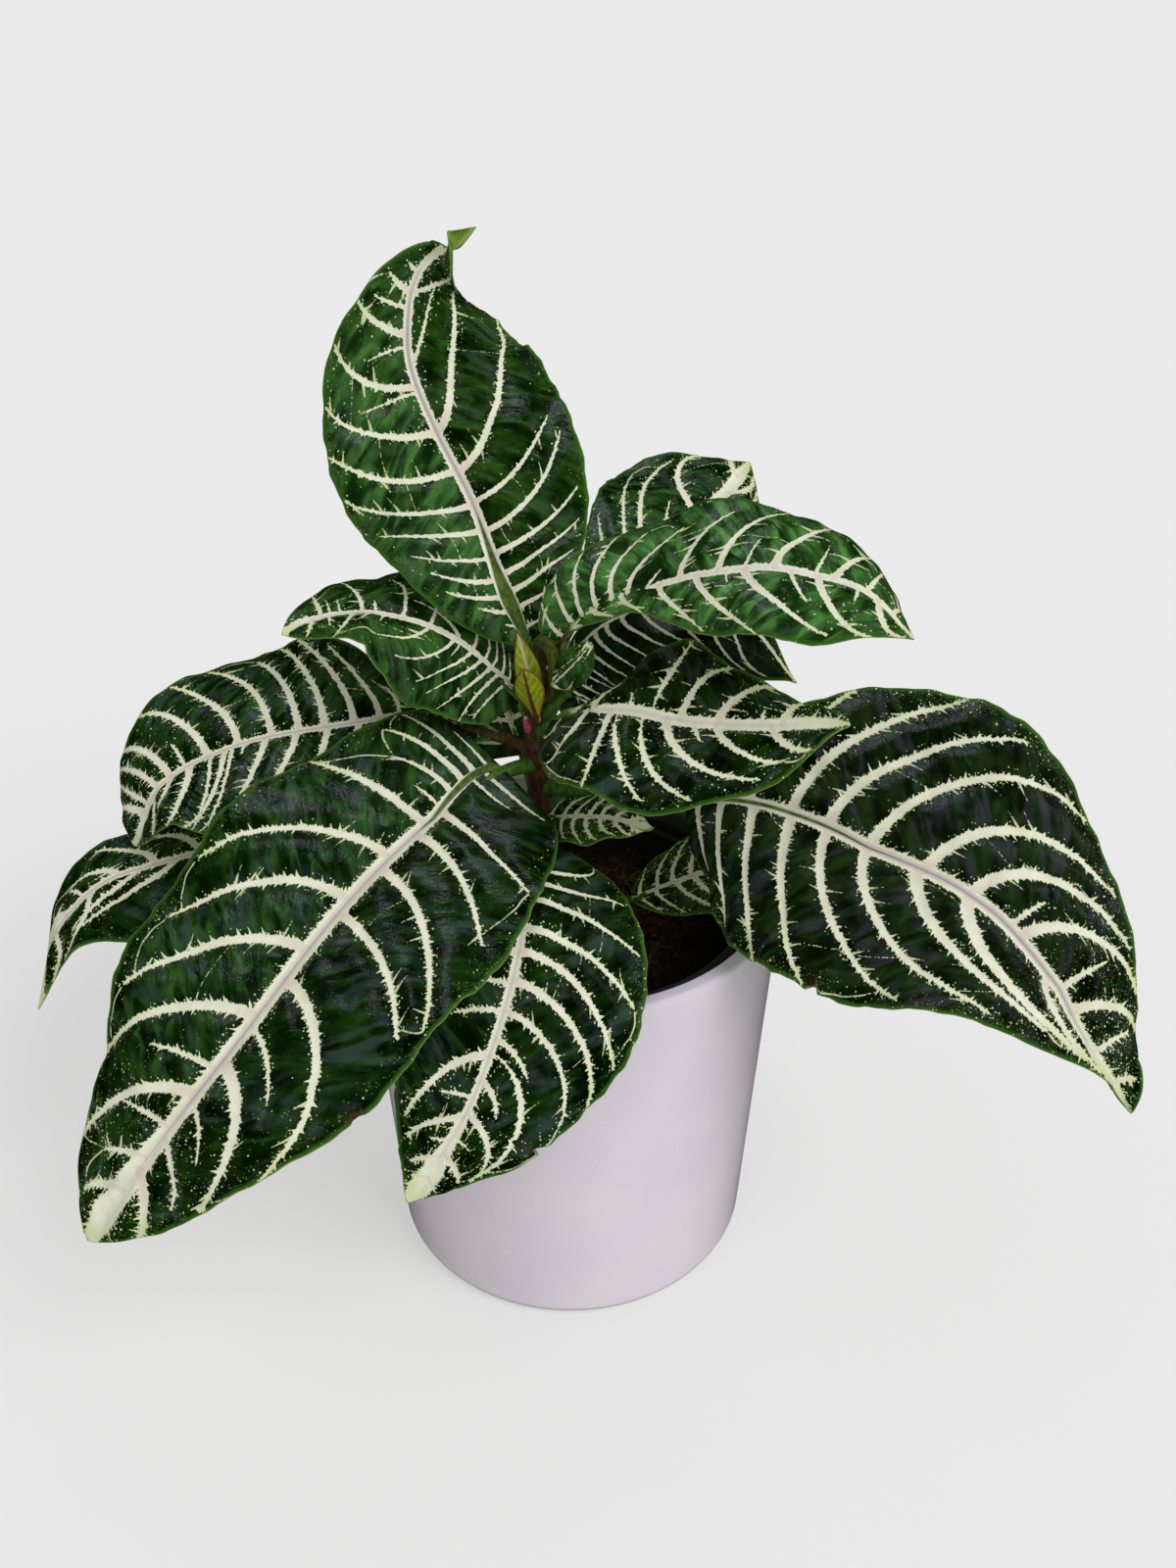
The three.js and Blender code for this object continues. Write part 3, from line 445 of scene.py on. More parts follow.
def add_links(fine, hand, lower, upper, length, loops, chance):
    """Thin lines between two side veins: spurs square to them, a rare whole link, a loop at the margin."""
    for path, aim in ((lower, upper), (upper, lower)):
        for place in chance.uniform(0.12, 0.98, max(round(length / SPUR_SPACING), 1)):
            i = int(place * VEIN_STEPS)
            a, b = path[i], aim[min(max(i + chance.integers(-2, 2), 1), VEIN_STEPS)]
            gap = np.hypot(*(b - a))
            if 3 < gap < 26:
                end = a + (b - a) * min(chance.uniform(0.3, 0.55), 7 / gap)
                line, s = curved(a, (a + end) / 2 + chance.uniform(-0.5, 0.5, 2), end)
                fine.add(line, 0.46 * (1 - s) ** 1.3 + 0.04)
    i = chance.integers(4, 15)
    a, b = lower[i], upper[max(i - 1, 1)]
    if chance.random() < 0.6 and np.hypot(*(b - a)) < 24:
        line, s = curved(a, (a + b) / 2 + chance.uniform(-1.8, 1.8, 2), b, 9)
        fine.add(line, 0.10 + 0.16 * np.abs(2 * s - 1) ** 3)
    a, b = lower[-1], upper[-2]
    if chance.random() < loops and np.hypot(*(b - a)) < 28:
        line, s = curved(a, (a + b) / 2 + np.array([hand * 2.6, 1.0]), b)
        fine.add(line, 0.16 + 0.12 * (1 - s))


def even_veins(count, seed):
    chance = np.random.default_rng(seed)
    roots = np.linspace(0.05, 0.92, count) + chance.uniform(-0.012, 0.012, count)
    ends = [min(root + 0.05 + 0.15 * math.sin(math.pi * root**0.9), 0.985) for root in roots]
    return [(100 * root, 100 * end, 94, 80 + 25 * chance.random()) for root, end in zip(roots, ends)]


def even_pattern(count, band, seed, **changes):
    rib = [(place, width * band * 1.35) for place, width in rows(PLAIN_RIB)]
    return dict(band=band, thorn=(0.7, 0.1, 0.4), puff=1.0, freckle=0.4, glow=(0.15, 0.15), lilac=0.3,
                rib=rib, core="0 0.3, 20 0", left=even_veins(count, seed),
                right=even_veins(count, seed + 1)) | changes


def draw_pattern(blade, pattern, seed):
    """The side veins, the rib and the thin lines between the veins."""
    chance = np.random.default_rng(seed)
    veins, rib, fine = Lines(), Lines(), Lines()
    t = np.linspace(0, 1, RIB_POINTS)
    start = pattern["start"] / 100
    station = start + (1 - start) * t
    shift = along(pattern["shift"], t) / 100
    path = np.column_stack([shift * blade.half(station, shift), station * blade.length])
    rib.add(path, along(pattern["rib"], t))
    for hand, name in ((-1, "left"), (1, "right")):
        main = []
        for row in rows(pattern[name]):
            root, end, reach, width, *thin = np.array(row) / 100
            path, t = vein_path(blade, pattern, hand, root, end, reach)
            swell = 0.3 + 1.12 * (1 - t**1.75) + 0.5 * np.exp(-t / 0.06)
            swell *= 1 - 0.82 * smoothstep(0.5, 0.15, t) * bool(thin)
            veins.add(path, pattern["band"] * width**0.8 * swell)
            if width >= 0.6 and reach > 0.5:
                main.append(path)
        for lower, upper in zip(main, main[1:]):
            add_links(fine, hand, lower, upper, blade.length, pattern["loops"], chance)
    if not fine.parts:
        fine.add(np.array([(FAR, 0), (FAR, 1)]), np.zeros(2))
    for lines in (veins, rib, fine):
        lines.close()
    return veins, rib, fine


# ---- meshes ----

ROW, COLUMN, THICKNESS = 1.0, 1.1, 0.55
SMALL_LEAF = 60
# Waves of the margin: how many there are along it, and their depth.
SCALLOPS = ((13, 0.014), (29, 0.006))
CRINKLES = 7
# Tears in the margin: side, station, half-length and depth.
NOTCHES = {"leaf_front": [(-1, 0.742, 0.010, 0.17)], "leaf_right_low": [(1, 0.40, 0.010, 0.06)],
           "leaf_front_left": [(-1, 0.62, 0.012, 0.05)]}


def grid_faces(index):
    return np.stack([index[:-1, :-1], index[:-1, 1:], index[1:, 1:], index[1:, :-1]], -1)


def add_object(name, data):
    piece = bpy.data.objects.new(name, data)
    bpy.context.scene.collection.objects.link(piece)
    return piece


class MeshParts:
    """Collects points, faces and what their corners carry, in millimetres."""

    KEYS = ("vein", "rib", "fine", "place", "tone", "look")

    def __init__(self, *materials):
        self.materials = materials
        self.points = []
        self.total = 0
        self.groups = []

    def add_points(self, points):
        self.points.append(points)
        self.total += len(points)
        return self.total - len(points)

    def add_faces(self, faces, material, values=None):
        self.groups.append((np.asarray(faces), material, values))

    def add_rings(self, rings, ends, material):
        """Closed rings of points, joined, with a point in the middle of the first and of the last."""
        count, sides = rings.shape[:2]
        base = self.add_points(np.vstack([rings.reshape(-1, 3), ends]))
        index = np.arange(base, base + count * sides).reshape(count, sides)
        index = np.column_stack([index, index[:, :1]])
        last = np.full(sides, base + count * sides)
        self.add_faces(grid_faces(index).reshape(-1, 4), material)
        self.add_faces(np.stack([index[0, 1:], index[0, :-1], last], -1), material)
        self.add_faces(np.stack([index[-1, :-1], index[-1, 1:], last + 1], -1), material)

    def add_tube(self, line, radii, material, sides):
        """A closed tube along a line; its ends are points of the line."""
        tangent = unit(np.gradient(line, axis=0))
        across = np.cross(tangent[0], (0, 0, 1))
        if np.linalg.norm(across) < 0.2:
            across = np.cross(tangent[0], (1, 0, 0))
        rings = []
        angle = np.linspace(0, 2 * np.pi, sides, endpoint=False)[:, None]
        for centre, direction, radius in zip(line, tangent, radii):
            across = unit(across - across.dot(direction) * direction)
            second = np.cross(direction, across)
            rings.append(centre + radius * (np.cos(angle) * across + np.sin(angle) * second))
        self.add_rings(np.array(rings), line[[0, -1]], material)

    def build(self, name):
        points = np.vstack(self.points)
        loops = np.concatenate([faces.ravel() for faces, _, _ in self.groups])
        totals = np.concatenate([np.full(len(faces), faces.shape[1]) for faces, _, _ in self.groups])
        slots = np.concatenate([np.full(len(faces), material) for faces, material, _ in self.groups])
        used = np.zeros(len(points), bool)
        used[loops] = True
        mesh = bpy.data.meshes.new(name)
        mesh.vertices.add(used.sum())
        mesh.vertices.foreach_set("co", (points[used] * MM).astype(np.float32).ravel())
        mesh.loops.add(len(loops))
        mesh.loops.foreach_set("vertex_index", (np.cumsum(used) - 1)[loops].astype(np.int32))
        mesh.polygons.add(len(totals))
        mesh.polygons.foreach_set("loop_start", np.append(0, np.cumsum(totals)[:-1]).astype(np.int32))
        mesh.polygons.foreach_set("material_index", slots.astype(np.int32))
        mesh.polygons.foreach_set("use_smooth", np.ones(len(totals), bool))
        mesh.update(calc_edges=True)
        for key in self.KEYS if any(values for _, _, values in self.groups) else ():
            parts = []
            for faces, _, values in self.groups:
                blank = np.full((faces.size, 3), FAR if key in ("vein", "rib", "fine") else 0.0)
                blank[:, 2] = 0
                parts.append(blank if values is None else values[key].reshape(-1, 3))
            attribute = mesh.attributes.new(key, "FLOAT_VECTOR", "CORNER")
            attribute.data.foreach_set("vector", np.vstack(parts).astype(np.float32).ravel())
        for material in self.materials:
            mesh.materials.append(material)
        return add_object(name, mesh)


def leaf_grid(blade, name, seed):
    """Station, reach and trim of the blade's grid; its rows follow the side veins."""
    step = 1 if blade.length > SMALL_LEAF else 0.5
    half = round(max(blade.leaf["left"][0], blade.leaf["right"][0]) / COLUMN / step)
    reach = np.linspace(-1, 1, 2 * half + 1)
    reach = np.sign(reach) * np.abs(reach) ** 1.12
    row = np.linspace(0, 1, round(blade.length / ROW / step) + 1)[:, None]
    station = np.minimum(row + SWEEP * np.sin(np.pi * row**0.9) * np.abs(reach) ** 1.5, 1)
    reach = np.broadcast_to(reach, station.shape)
    phase = np.random.default_rng(seed).uniform(0, 6.28, 6)
    trim = np.ones(station.shape)
    for k, (count, depth) in enumerate(SCALLOPS):
        swing = np.sin(2 * np.pi * count * station + phase[2 * k] + np.sign(reach) * phase[2 * k + 1])
        trim -= depth * (0.5 + 0.5 * swing) * np.abs(reach) ** 3
    for hand, place, size, depth in NOTCHES.get(name, []):
        cut = np.clip(1 - np.abs(station - place) / size, 0, 1) * (np.sign(reach) == hand)
        trim = trim * (1 - depth * cut * np.abs(reach) ** 2)
    return station, reach, trim


def relief(pattern, flat, station, reach, veins, rib, seed):
    """Height of the swellings between the veins, and the veins' own ridges on the underside."""
    points = flat.reshape(-1, 2)
    gap, _, width = veins.read(points, veins.nearest(points)).T.reshape(3, *station.shape)
    middle = rib.read(points, rib.nearest(points))[:, 0].reshape(station.shape)
    gap, middle = np.abs(gap), np.abs(middle)
    edge = np.maximum(np.minimum(gap - 0.3 * width, middle - 0.8), 0)
    puff = pattern["puff"] * (1 - np.exp(-((edge / 3.2) ** 2)))
    puff -= 0.5 * np.exp(-((middle / 2.2) ** 2))
    chance = np.random.default_rng(seed + 7)
    for _ in range(CRINKLES):
        angle = chance.uniform(0, math.pi)
        wave = chance.uniform(9, 24)
        swing = (flat[..., 0] * math.cos(angle) + flat[..., 1] * math.sin(angle)) * 2 * math.pi / wave
        puff += 0.011 * wave * np.sin(swing + chance.uniform(0, 6.28)) * smoothstep(0, 6, middle)
    rim = 1 - np.abs(reach) ** 6
    end = smoothstep(0, 0.06, station) * smoothstep(0, 0.05, 1 - station)
    puff *= (0.35 + 0.65 * rim) * end
    for _ in range(2):
        around = puff[:-2, 1:-1] + puff[2:, 1:-1] + puff[1:-1, :-2] + puff[1:-1, 2:]
        puff[1:-1, 1:-1] = 0.4 * puff[1:-1, 1:-1] + 0.15 * around
    keel = (1.9 - 1.6 * station) * np.exp(-((middle / 1.3) ** 2)) * np.minimum(end * 3, 1)
    ridge = 0.3 * np.exp(-((gap / 0.8) ** 2)) * (width > 0)
    return puff, (keel + ridge * rim) * end


def corner_values(blade, pattern, name, flat, grid, width, corners, lines):
    """What the leaf's colour reads at each corner of each face: distances to the lines, and where it lies."""
    station, reach, _ = (part.ravel() for part in grid)
    points = flat.reshape(-1, 2)
    at_corners = points[corners.reshape(-1, 4)]
    values = {}
    for key, drawn in zip(MeshParts.KEYS, lines):
        index = np.repeat(drawn.nearest(at_corners.mean(1)), 4)
        values[key] = drawn.read(at_corners.reshape(-1, 2), index).reshape(*corners.shape, 3)
    margin = np.minimum(width.ravel() * (1 - np.abs(reach)), (1 - station) * blade.length)
    size, low, high = pattern["thorn"]
    thorn = size * smoothstep(low, high, station) * (1 + 0.7 * smoothstep(0.78, 0.95, station))
    torn = np.zeros(station.size)
    for hand, place, size, depth in NOTCHES.get(name, []):
        near = np.clip(1.4 - np.abs(station - place) / size, 0, 1) * (np.sign(reach) == hand)
        torn = np.maximum(torn, near * smoothstep(1 - depth * 1.6, 1, np.abs(reach)))
    lilac = pattern["lilac"] * (1 - smoothstep(0.7, 0.95, station))
    glow = np.where(reach < 0, *pattern["glow"]) * smoothstep(0, 0.15, np.abs(reach) + 0.05)
    tip = pattern["freckle"] * np.maximum(smoothstep(0.6, 1, station), 0.7 * smoothstep(9, 1, margin))
    values["place"] = np.stack([margin, thorn, along(pattern["core"], station)], -1)[corners]
    values["tone"] = np.stack([torn, lilac, tip], -1)[corners]
    values["look"] = np.stack([glow, np.abs(points[:, 0]), points[:, 1]], -1)[corners]
    return values


def leaf_mesh(name, leaf, pattern, materials, seed):
    """A leaf. Its materials are those of the upper skin, the lower skin, the margin and the stalk."""
    pattern = PATTERN_DEFAULTS | pattern
    blade = Blade(leaf)
    lines = draw_pattern(blade, pattern, seed)
    grid = station, reach, trim = leaf_grid(blade, name, seed)
    width = blade.half(station, reach)
    flat = np.stack([reach * width, station * blade.length], -1)
    middle = blade.point(station, reach, trim)
    normal = unit(np.cross(np.gradient(middle, axis=1), np.gradient(middle, axis=0)))
    normal[[0, -1]] = blade.normals[[0, -1]][:, None]
    height, ridges = relief(pattern, flat, station, reach, *lines[:2], seed)
    thick = THICKNESS * (1 - 0.45 * np.abs(reach) ** 8)
    top = middle + normal * (height + thick / 2)[..., None]
    bottom = middle + normal * (height - thick / 2 - ridges)[..., None]
    mesh = MeshParts(*materials)
    base = mesh.add_points(np.vstack([top.reshape(-1, 3), bottom.reshape(-1, 3)]))
    index = np.arange(station.size).reshape(station.shape)
    values = corner_values(blade, pattern, name, flat, grid, width, grid_faces(index), lines)
    under = {key: value[:, :, ::-1] for key, value in values.items()}
    # The blade's ends are single points.
    index[0], index[-1] = index[0, 0], index[-1, 0]
    upper, lower = index + base, index + base + station.size
    every, inner = [0, 1, 2, 3], slice(1, -1)
    for material, skin, data, first, last in (
            (0, grid_faces(upper), values, [0, 2, 3], [0, 1, 2]),
            (1, grid_faces(lower)[:, :, ::-1], under, [0, 1, 3], [0, 2, 3])):
        for part, order in ((inner, every), (slice(0, 1), first), (slice(-1, None), last)):
            taken = {key: value[part][..., order, :] for key, value in data.items()}
            mesh.add_faces(skin[part][..., order].reshape(-1, len(order)), material, taken)
    for column, order in ((0, -1), (-1, 1)):
        strip = np.stack([upper[:-1, column], lower[:-1, column], lower[1:, column], upper[1:, column]], -1)
        mesh.add_faces(strip[:, ::order], 2)
    share = np.linspace(0, 1, STALK_SAMPLES)
    start = read(stem_line, stem_line[:, 2], leaf["node"])
    seat = blade.at(blade.points, SEAT) - blade.at(blade.normals, SEAT) * SINK * leaf["thick"]
    line, _ = smooth_line([start, *rows(leaf.get("stalk", [])), *seat], STALK_SAMPLES)
    mesh.add_tube(line, leaf["thick"] * (1 - TAPER * share) * rounded_end(share, 0.06), 3, 14)
    return mesh.build(name.replace("leaf", "zebra_leaf") if name.startswith("leaf") else name + "_shown")


def rounded_end(share, size):
    """Narrows a tube to a rounded end over its last part."""
    return np.sqrt(np.clip((1 - share) / size, 0.02, 1))


stem_line, _ = smooth_line(rows(STEM["path"]), 300)


def put(piece, node):
    """Ties a piece to the body, and hides the CAD node that it stands for."""
    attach(piece, "root")
    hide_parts(node)


# ---- material nodes ----


class Value:
    """An output of a node. Arithmetic with it adds nodes to the material that is being made."""

    material = None

    def __init__(self, socket):
        self.socket = socket

    def __rsub__(self, other):
        return calculate("SUBTRACT", other, self)

    def __abs__(self):
        return calculate("ABSOLUTE", self)

    def ramp(self, low, high, to_low=0.0, to_high=1.0):
        """A smooth change from one number to another while the value goes from low to high."""
        inputs = {"Value": self, "From Min": low, "From Max": high, "To Min": to_low, "To Max": to_high}
        return add_node("ShaderNodeMapRange", inputs, interpolation_type="SMOOTHSTEP", clamp=True)[0]


for method, operation in (("__add__", "ADD"), ("__sub__", "SUBTRACT"), ("__mul__", "MULTIPLY"),
                          ("__truediv__", "DIVIDE"), ("__pow__", "POWER"), ("most", "MAXIMUM"),
                          ("least", "MINIMUM"), ("under", "LESS_THAN"), ("over", "GREATER_THAN")):
    setattr(Value, method, lambda self, other, operation=operation: calculate(operation, self, other))


def begin(name, **settings):
    """Starts a material, and sets numbers of its surface."""
    Value.material = bpy.data.materials.new(name)
    Value.material.use_nodes = True
    for socket, value in settings.items():
        surface()[socket.replace("_", " ")].default_value = value


def surface():
    return Value.material.node_tree.nodes["Principled BSDF"].inputs


def fill(socket, value):
    if isinstance(value, Value):
        Value.material.node_tree.links.new(value.socket, socket)
    else:
        socket.default_value = (*value, 1) if socket.type == "RGBA" else value


def add_node(kind, inputs=(), **properties):
    """The outputs of a new node."""
    node = Value.material.node_tree.nodes.new(kind)
    for key, value in properties.items():
        setattr(node, key, value)
    for socket, value in dict(inputs).items():
        fill(node.inputs[socket], value)
    return [Value(output) for output in node.outputs]


def calculate(operation, *values):
    return add_node("ShaderNodeMath", dict(enumerate(values)), operation=operation)[0]


def mix(share, a, b):
    return add_node("ShaderNodeMix", {"Factor": share, 6: a, 7: b}, data_type="RGBA")[2]


def split(color):
    return add_node("ShaderNodeSeparateColor", {0: color})


def dim(color, share):
    return tuple(share * channel for channel in color)


def carried():
    """What the mesh's corners carry: three numbers for each key."""
    vectors = [add_node("ShaderNodeAttribute", attribute_name=key, attribute_type="GEOMETRY")[1]
               for key in MeshParts.KEYS]
    return [add_node("ShaderNodeSeparateXYZ", {0: vector}) for vector in vectors]


def where():
    """The place on the object, in metres."""
    return add_node("ShaderNodeTexCoord")[3]


def altitude():
    return add_node("ShaderNodeSeparateXYZ", {0: where()})[2]


def noise(scale, detail=2.0, roughness=0.5, distortion=0.0, vector=None):
    inputs = {"Vector": vector or where(), "Scale": scale, "Detail": detail, "Roughness": roughness,
              "Distortion": distortion}
    return add_node("ShaderNodeTexNoise", inputs)[0]


def cells(scale, feature="F1"):
    """Distance in a pattern of cells, and the random numbers of each cell."""
    inputs = {"Vector": where(), "Scale": scale}
    distance, color = add_node("ShaderNodeTexVoronoi", inputs, feature=feature)[:2]
    return distance, split(color)


def spikes(place, spacing, width, rarity):
    """Pointed teeth along a line, each with its own length; a high rarity leaves few long ones."""
    inputs = {"W": place / spacing, "Scale": 1.0}
    distance, color = add_node("ShaderNodeTexVoronoi", inputs, voronoi_dimensions="1D")[:2]
    return (1.0 - distance / width).most(0.0) * split(color)[0] ** rarity


def ripple(place, scale, detail=2.0):
    """Noise along a line, from 0 to 1."""
    inputs = {"W": place, "Scale": scale, "Detail": detail, "Roughness": 0.6}
    return add_node("ShaderNodeTexNoise", inputs, noise_dimensions="1D")[0]


def finish(color, rough, bump=None, distance=0.0, strength=1.0):
    """Sets the surface's colour, roughness and bumps, and gives the material."""
    fill(surface()["Base Color"], color)
    fill(surface()["Roughness"], rough)
    if bump:
        inputs = {"Height": bump, "Distance": distance, "Strength": strength}
        fill(surface()["Normal"], add_node("ShaderNodeBump", inputs)[0])
    return Value.material


# ---- leaves ----


def band_mask(line, thorn, slant, seed):
    """Where a line's pale band lies, teeth included, and the distance outside its edge."""
    distance = abs(line[0])
    outside = distance - line[2]
    place = line[1] + calculate("SIGN", line[0]) * 31.7 + seed - distance * slant
    gate = ripple(place, 0.16, 1.0).ramp(0.38, 0.62, 0.15, 1.0)
    teeth = spikes(place, 2.3, 0.25, 1.1) * 0.9 * gate + spikes(place, 0.45, 0.35, 1.0) * 0.2
    fray = ripple(place, 1.25).ramp(0.42, 0.68) * 0.42
    teeth = (teeth + spikes(place, 3.6, 0.13, 1.8) * 2.0 + fray) * thorn
    waver = (ripple(place, 0.6) - 0.5) * 0.9
    return (outside - teeth * line[2].ramp(0.0, 0.35) - waver).ramp(0.07, -0.07), outside


def leaf_upper(name, shade, mid, bright, painted_sheen):
    """Upper skin. shade, mid and bright are its greens; the last is the colour of painted reflections."""
    begin(name, Specular_IOR_Level=0.3)
    vein, rib, fine, place, tone, look = carried()
    wobble, wide, patch = noise(420), noise(75, 3, 0.6), noise(190, 4, 0.6)
    vein_mask, vein_out = band_mask(vein, place[1], 0.35, 0.0)
    rib_mask, rib_out = band_mask(rib, place[1], 0.7, 11.0)
    bands = vein_mask.most(rib_mask)
    out = vein_out.least(rib_out)
    # Pleats square to the side veins, from the place in the flat leaf.
    square = look[2] * 0.65 - look[1] * 0.76
    pleats = add_node("ShaderNodeCombineXYZ", {0: look[1] * 0.65 + look[2] * 0.76, 1: square * 0.28})[0]
    pleat = noise(0.30, 2, 0.5, 0.6, pleats)
    # Thin dotted lines between the veins.
    dots = noise(1100, 1).ramp(0.46, 0.56) + fine[2].ramp(0.16, 0.28)
    fine_mask = (abs(fine[0]) - fine[2]).ramp(0.07, -0.06) * dots.least(1.0)
    # Specks close to the bands, and freckles towards the tip and the margins.
    distance, lot = cells(1150)
    close = rib_out.ramp(3.5, 0.2, 0.0, 0.75).most(vein_out.ramp(2.6, 0.2, 0.0, 0.5))
    crowd = close * place[1] + tone[2] * wide.ramp(0.35, 0.65, 0.05, 0.42)
    speck = (distance - (lot[1] * 0.26 + 0.13)).ramp(0.05, -0.03) * lot[0].under(crowd)
    distance, lot = cells(1500)
    dust = lot[0].under(tone[2] * patch.ramp(0.35, 0.62, 0.14, 0.95)) * distance.ramp(0.32, 0.2)
    # Greens. Lighter on the pleats' crests and darker in their hollows: painted highlight and painted shade.
    fold = pleat * 0.8 + patch * 0.2
    deep = mix(wide.ramp(0.36, 0.64), shade, mid)
    deep = mix(fold.ramp(0.52, 0.68, 0.0, 0.5), deep, bright)
    deep = mix(fold.ramp(0.50, 0.34, 0.0, 0.7), deep, dim(shade, 0.4))
    # The lighter greens, with the same painted highlight and painted shade on the pleats.
    light = mix(wide.ramp(0.36, 0.64), (0.008, 0.040, 0.003), (0.046, 0.140, 0.028))
    light = mix(fold.ramp(0.49, 0.66), light, (0.085, 0.250, 0.050))
    light = mix(fold.ramp(0.53, 0.38, 0.0, 0.85), light, (0.004, 0.021, 0.001))
    # Lighter halves: partly a paler green of the leaf, partly painted sheen.
    deep = mix(look[0] * tone[2].ramp(0.5, 0.0, 0.4, 1.0), deep, light)
    glints = noise(0.13, 2, 0.5, 1.0, pleats) + patch * 0.25
    # Painted highlights: glints on the pleats, away from the bands.
    deep = mix(glints.ramp(0.68, 0.84) * out.ramp(0.3, 2.0) * 0.55, deep, painted_sheen)
    # Painted reflection: a faint sheen close to the veins.
    deep = mix(out.ramp(5.0, 0.3) * noise(60).ramp(0.52, 0.64) * 0.2, deep, painted_sheen)
    deep = mix(dust * 0.8, deep, (0.17, 0.29, 0.05))
    deep = mix((place[0] - wobble * 0.8).ramp(1.5, 0.1) * 0.8, deep, (0.035, 0.115, 0.010))
    # Ivory bands, pinkish and darker inside near the rib: partly their own tone, partly painted shade in the
    # groove.
    ivory = mix(patch.ramp(0.3, 0.7), (0.70, 0.71, 0.53), (0.80, 0.79, 0.66))
    ivory = mix(out.ramp(-0.5, 0.15, 0.0, 0.8), ivory, (0.68, 0.73, 0.47))
    ivory = mix(rib_out.ramp(7.0, 0.0) * vein_out.ramp(-0.05, -0.45) * 0.6, ivory, (0.66, 0.56, 0.47))
    ivory = mix(place[0].ramp(9.0, 1.0, 0.0, 0.75), ivory, (0.55, 0.63, 0.30))
    color = mix(speck * 0.85, deep, (0.55, 0.62, 0.33))
    color = mix(fine_mask * 0.9, color, (0.62, 0.67, 0.40))
    color = mix(bands, color, ivory)
    # The rib: a pinkish-grey middle with a lilac-grey line, or green where its core is.
    middle = abs(rib[0])
    body = (middle / rib[2].most(0.3)).ramp(0.72, 0.4) * tone[1] * rib_mask
    color = mix(body * 0.85, color, (0.58, 0.51, 0.45))
    color = mix(middle.ramp(0.62, 0.12) * tone[1] * (rib_mask * 0.75), color, (0.27, 0.25, 0.30))
    core = (middle - place[2]).ramp(0.35, -0.35) * place[2].ramp(0.02, 0.3)
    color = mix(core, color, mix(wobble.ramp(0.4, 0.6), (0.045, 0.090, 0.010), (0.095, 0.155, 0.025)))
    color = mix(place[0].ramp(0.40, 0.12) * 0.6, color, (0.20, 0.30, 0.08))
    color = mix(tone[0], color, (0.050, 0.022, 0.010))
    rough = bands * 0.25 + 0.17 + patch.ramp(0.3, 0.7, -0.04, 0.07)
    wrinkle = noise(230, 4, 0.62) * 0.8 + noise(1600, 3, 0.6) * 0.22
    return finish(color, rough, wrinkle + pleat * (1.0 - bands) * 0.9 - bands * 0.25, 0.0007, 0.8)


def leaf_lower():
    begin("leaf_lower", Specular_IOR_Level=0.2)
    vein, rib, *_ = carried()
    patch = noise(130, 4, 0.6)
    color = mix(patch.ramp(0.35, 0.68), (0.085, 0.185, 0.008), (0.19, 0.34, 0.020))
    bands = (abs(vein[0]) - vein[2]).ramp(0.5, -0.5).most((abs(rib[0]) - 1.2).ramp(0.5, -0.4))
    color = mix(bands * 0.7, color, (0.36, 0.46, 0.12))
    net = cells(420, "DISTANCE_TO_EDGE")[0].ramp(0.09, 0.02, 0.0, 0.35)
    color = mix(net, color, (0.30, 0.38, 0.13))
    return finish(color, patch.ramp(0.3, 0.7, 0.48, 0.62), noise(300, 4, 0.6) + net * 0.8, 0.0005, 0.6)


def margin_skin():
    begin("leaf_margin")
    patch = noise(500, 3)
    color = mix(patch.ramp(0.4, 0.65), (0.09, 0.17, 0.04), (0.20, 0.24, 0.08))
    return finish(color, patch.ramp(0.3, 0.7, 0.4, 0.55), patch, 0.0002)


def young_skin(name, green, pale, rib_color, margin_color):
    begin(name, Specular_IOR_Level=0.2)
    vein, rib, _, place, *_ = carried()
    patch = noise(500, 3, 0.6)
    color = mix(patch.ramp(0.35, 0.7), green, dim(green, 0.62))
    net = cells(1500, "DISTANCE_TO_EDGE")[0].ramp(0.1, 0.02, 0.0, 0.4)
    color = mix(net, color, pale)
    color = mix((abs(vein[0]) - vein[2]).ramp(0.1, -0.1) * 0.7, color, pale)
    color = mix((abs(rib[0]) - rib[2]).ramp(0.15, -0.15), color, rib_color)
    color = mix((place[0] - patch * 0.5).ramp(0.35, 0.0), color, margin_color)
    return finish(color, patch.ramp(0.3, 0.7, 0.32, 0.48), patch + net * 1.2, 0.0003, 0.8)


def streaked(name, dark, light, accent, share, roughness=0.42):
    """Stalk or stem skin: fine streaks along it and blotches of a second colour."""
    begin(name, Specular_IOR_Level=0.25)
    stretch = add_node("ShaderNodeMapping", {"Vector": where(), "Scale": (1.0, 1.0, 0.3)})[0]
    streak = noise(900, 3, 0.6, vector=stretch)
    blotch = noise(140, 3, 0.6, 0.6)
    color = mix(streak.ramp(0.35, 0.7), dark, light)
    color = mix(blotch.ramp(0.62 - 0.3 * share, 0.78 - 0.2 * share), color, accent)
    color = mix(cells(1300)[0].ramp(0.16, 0.06, 0.0, 0.3), color, light)
    return finish(color, blotch.ramp(0.3, 0.7, roughness - 0.06, roughness + 0.12), streak, 0.0003, 0.7)


FRESH_LEAVES = ("leaf_top", "leaf_right_upper", "leaf_left_upper", "leaf_inner_small")


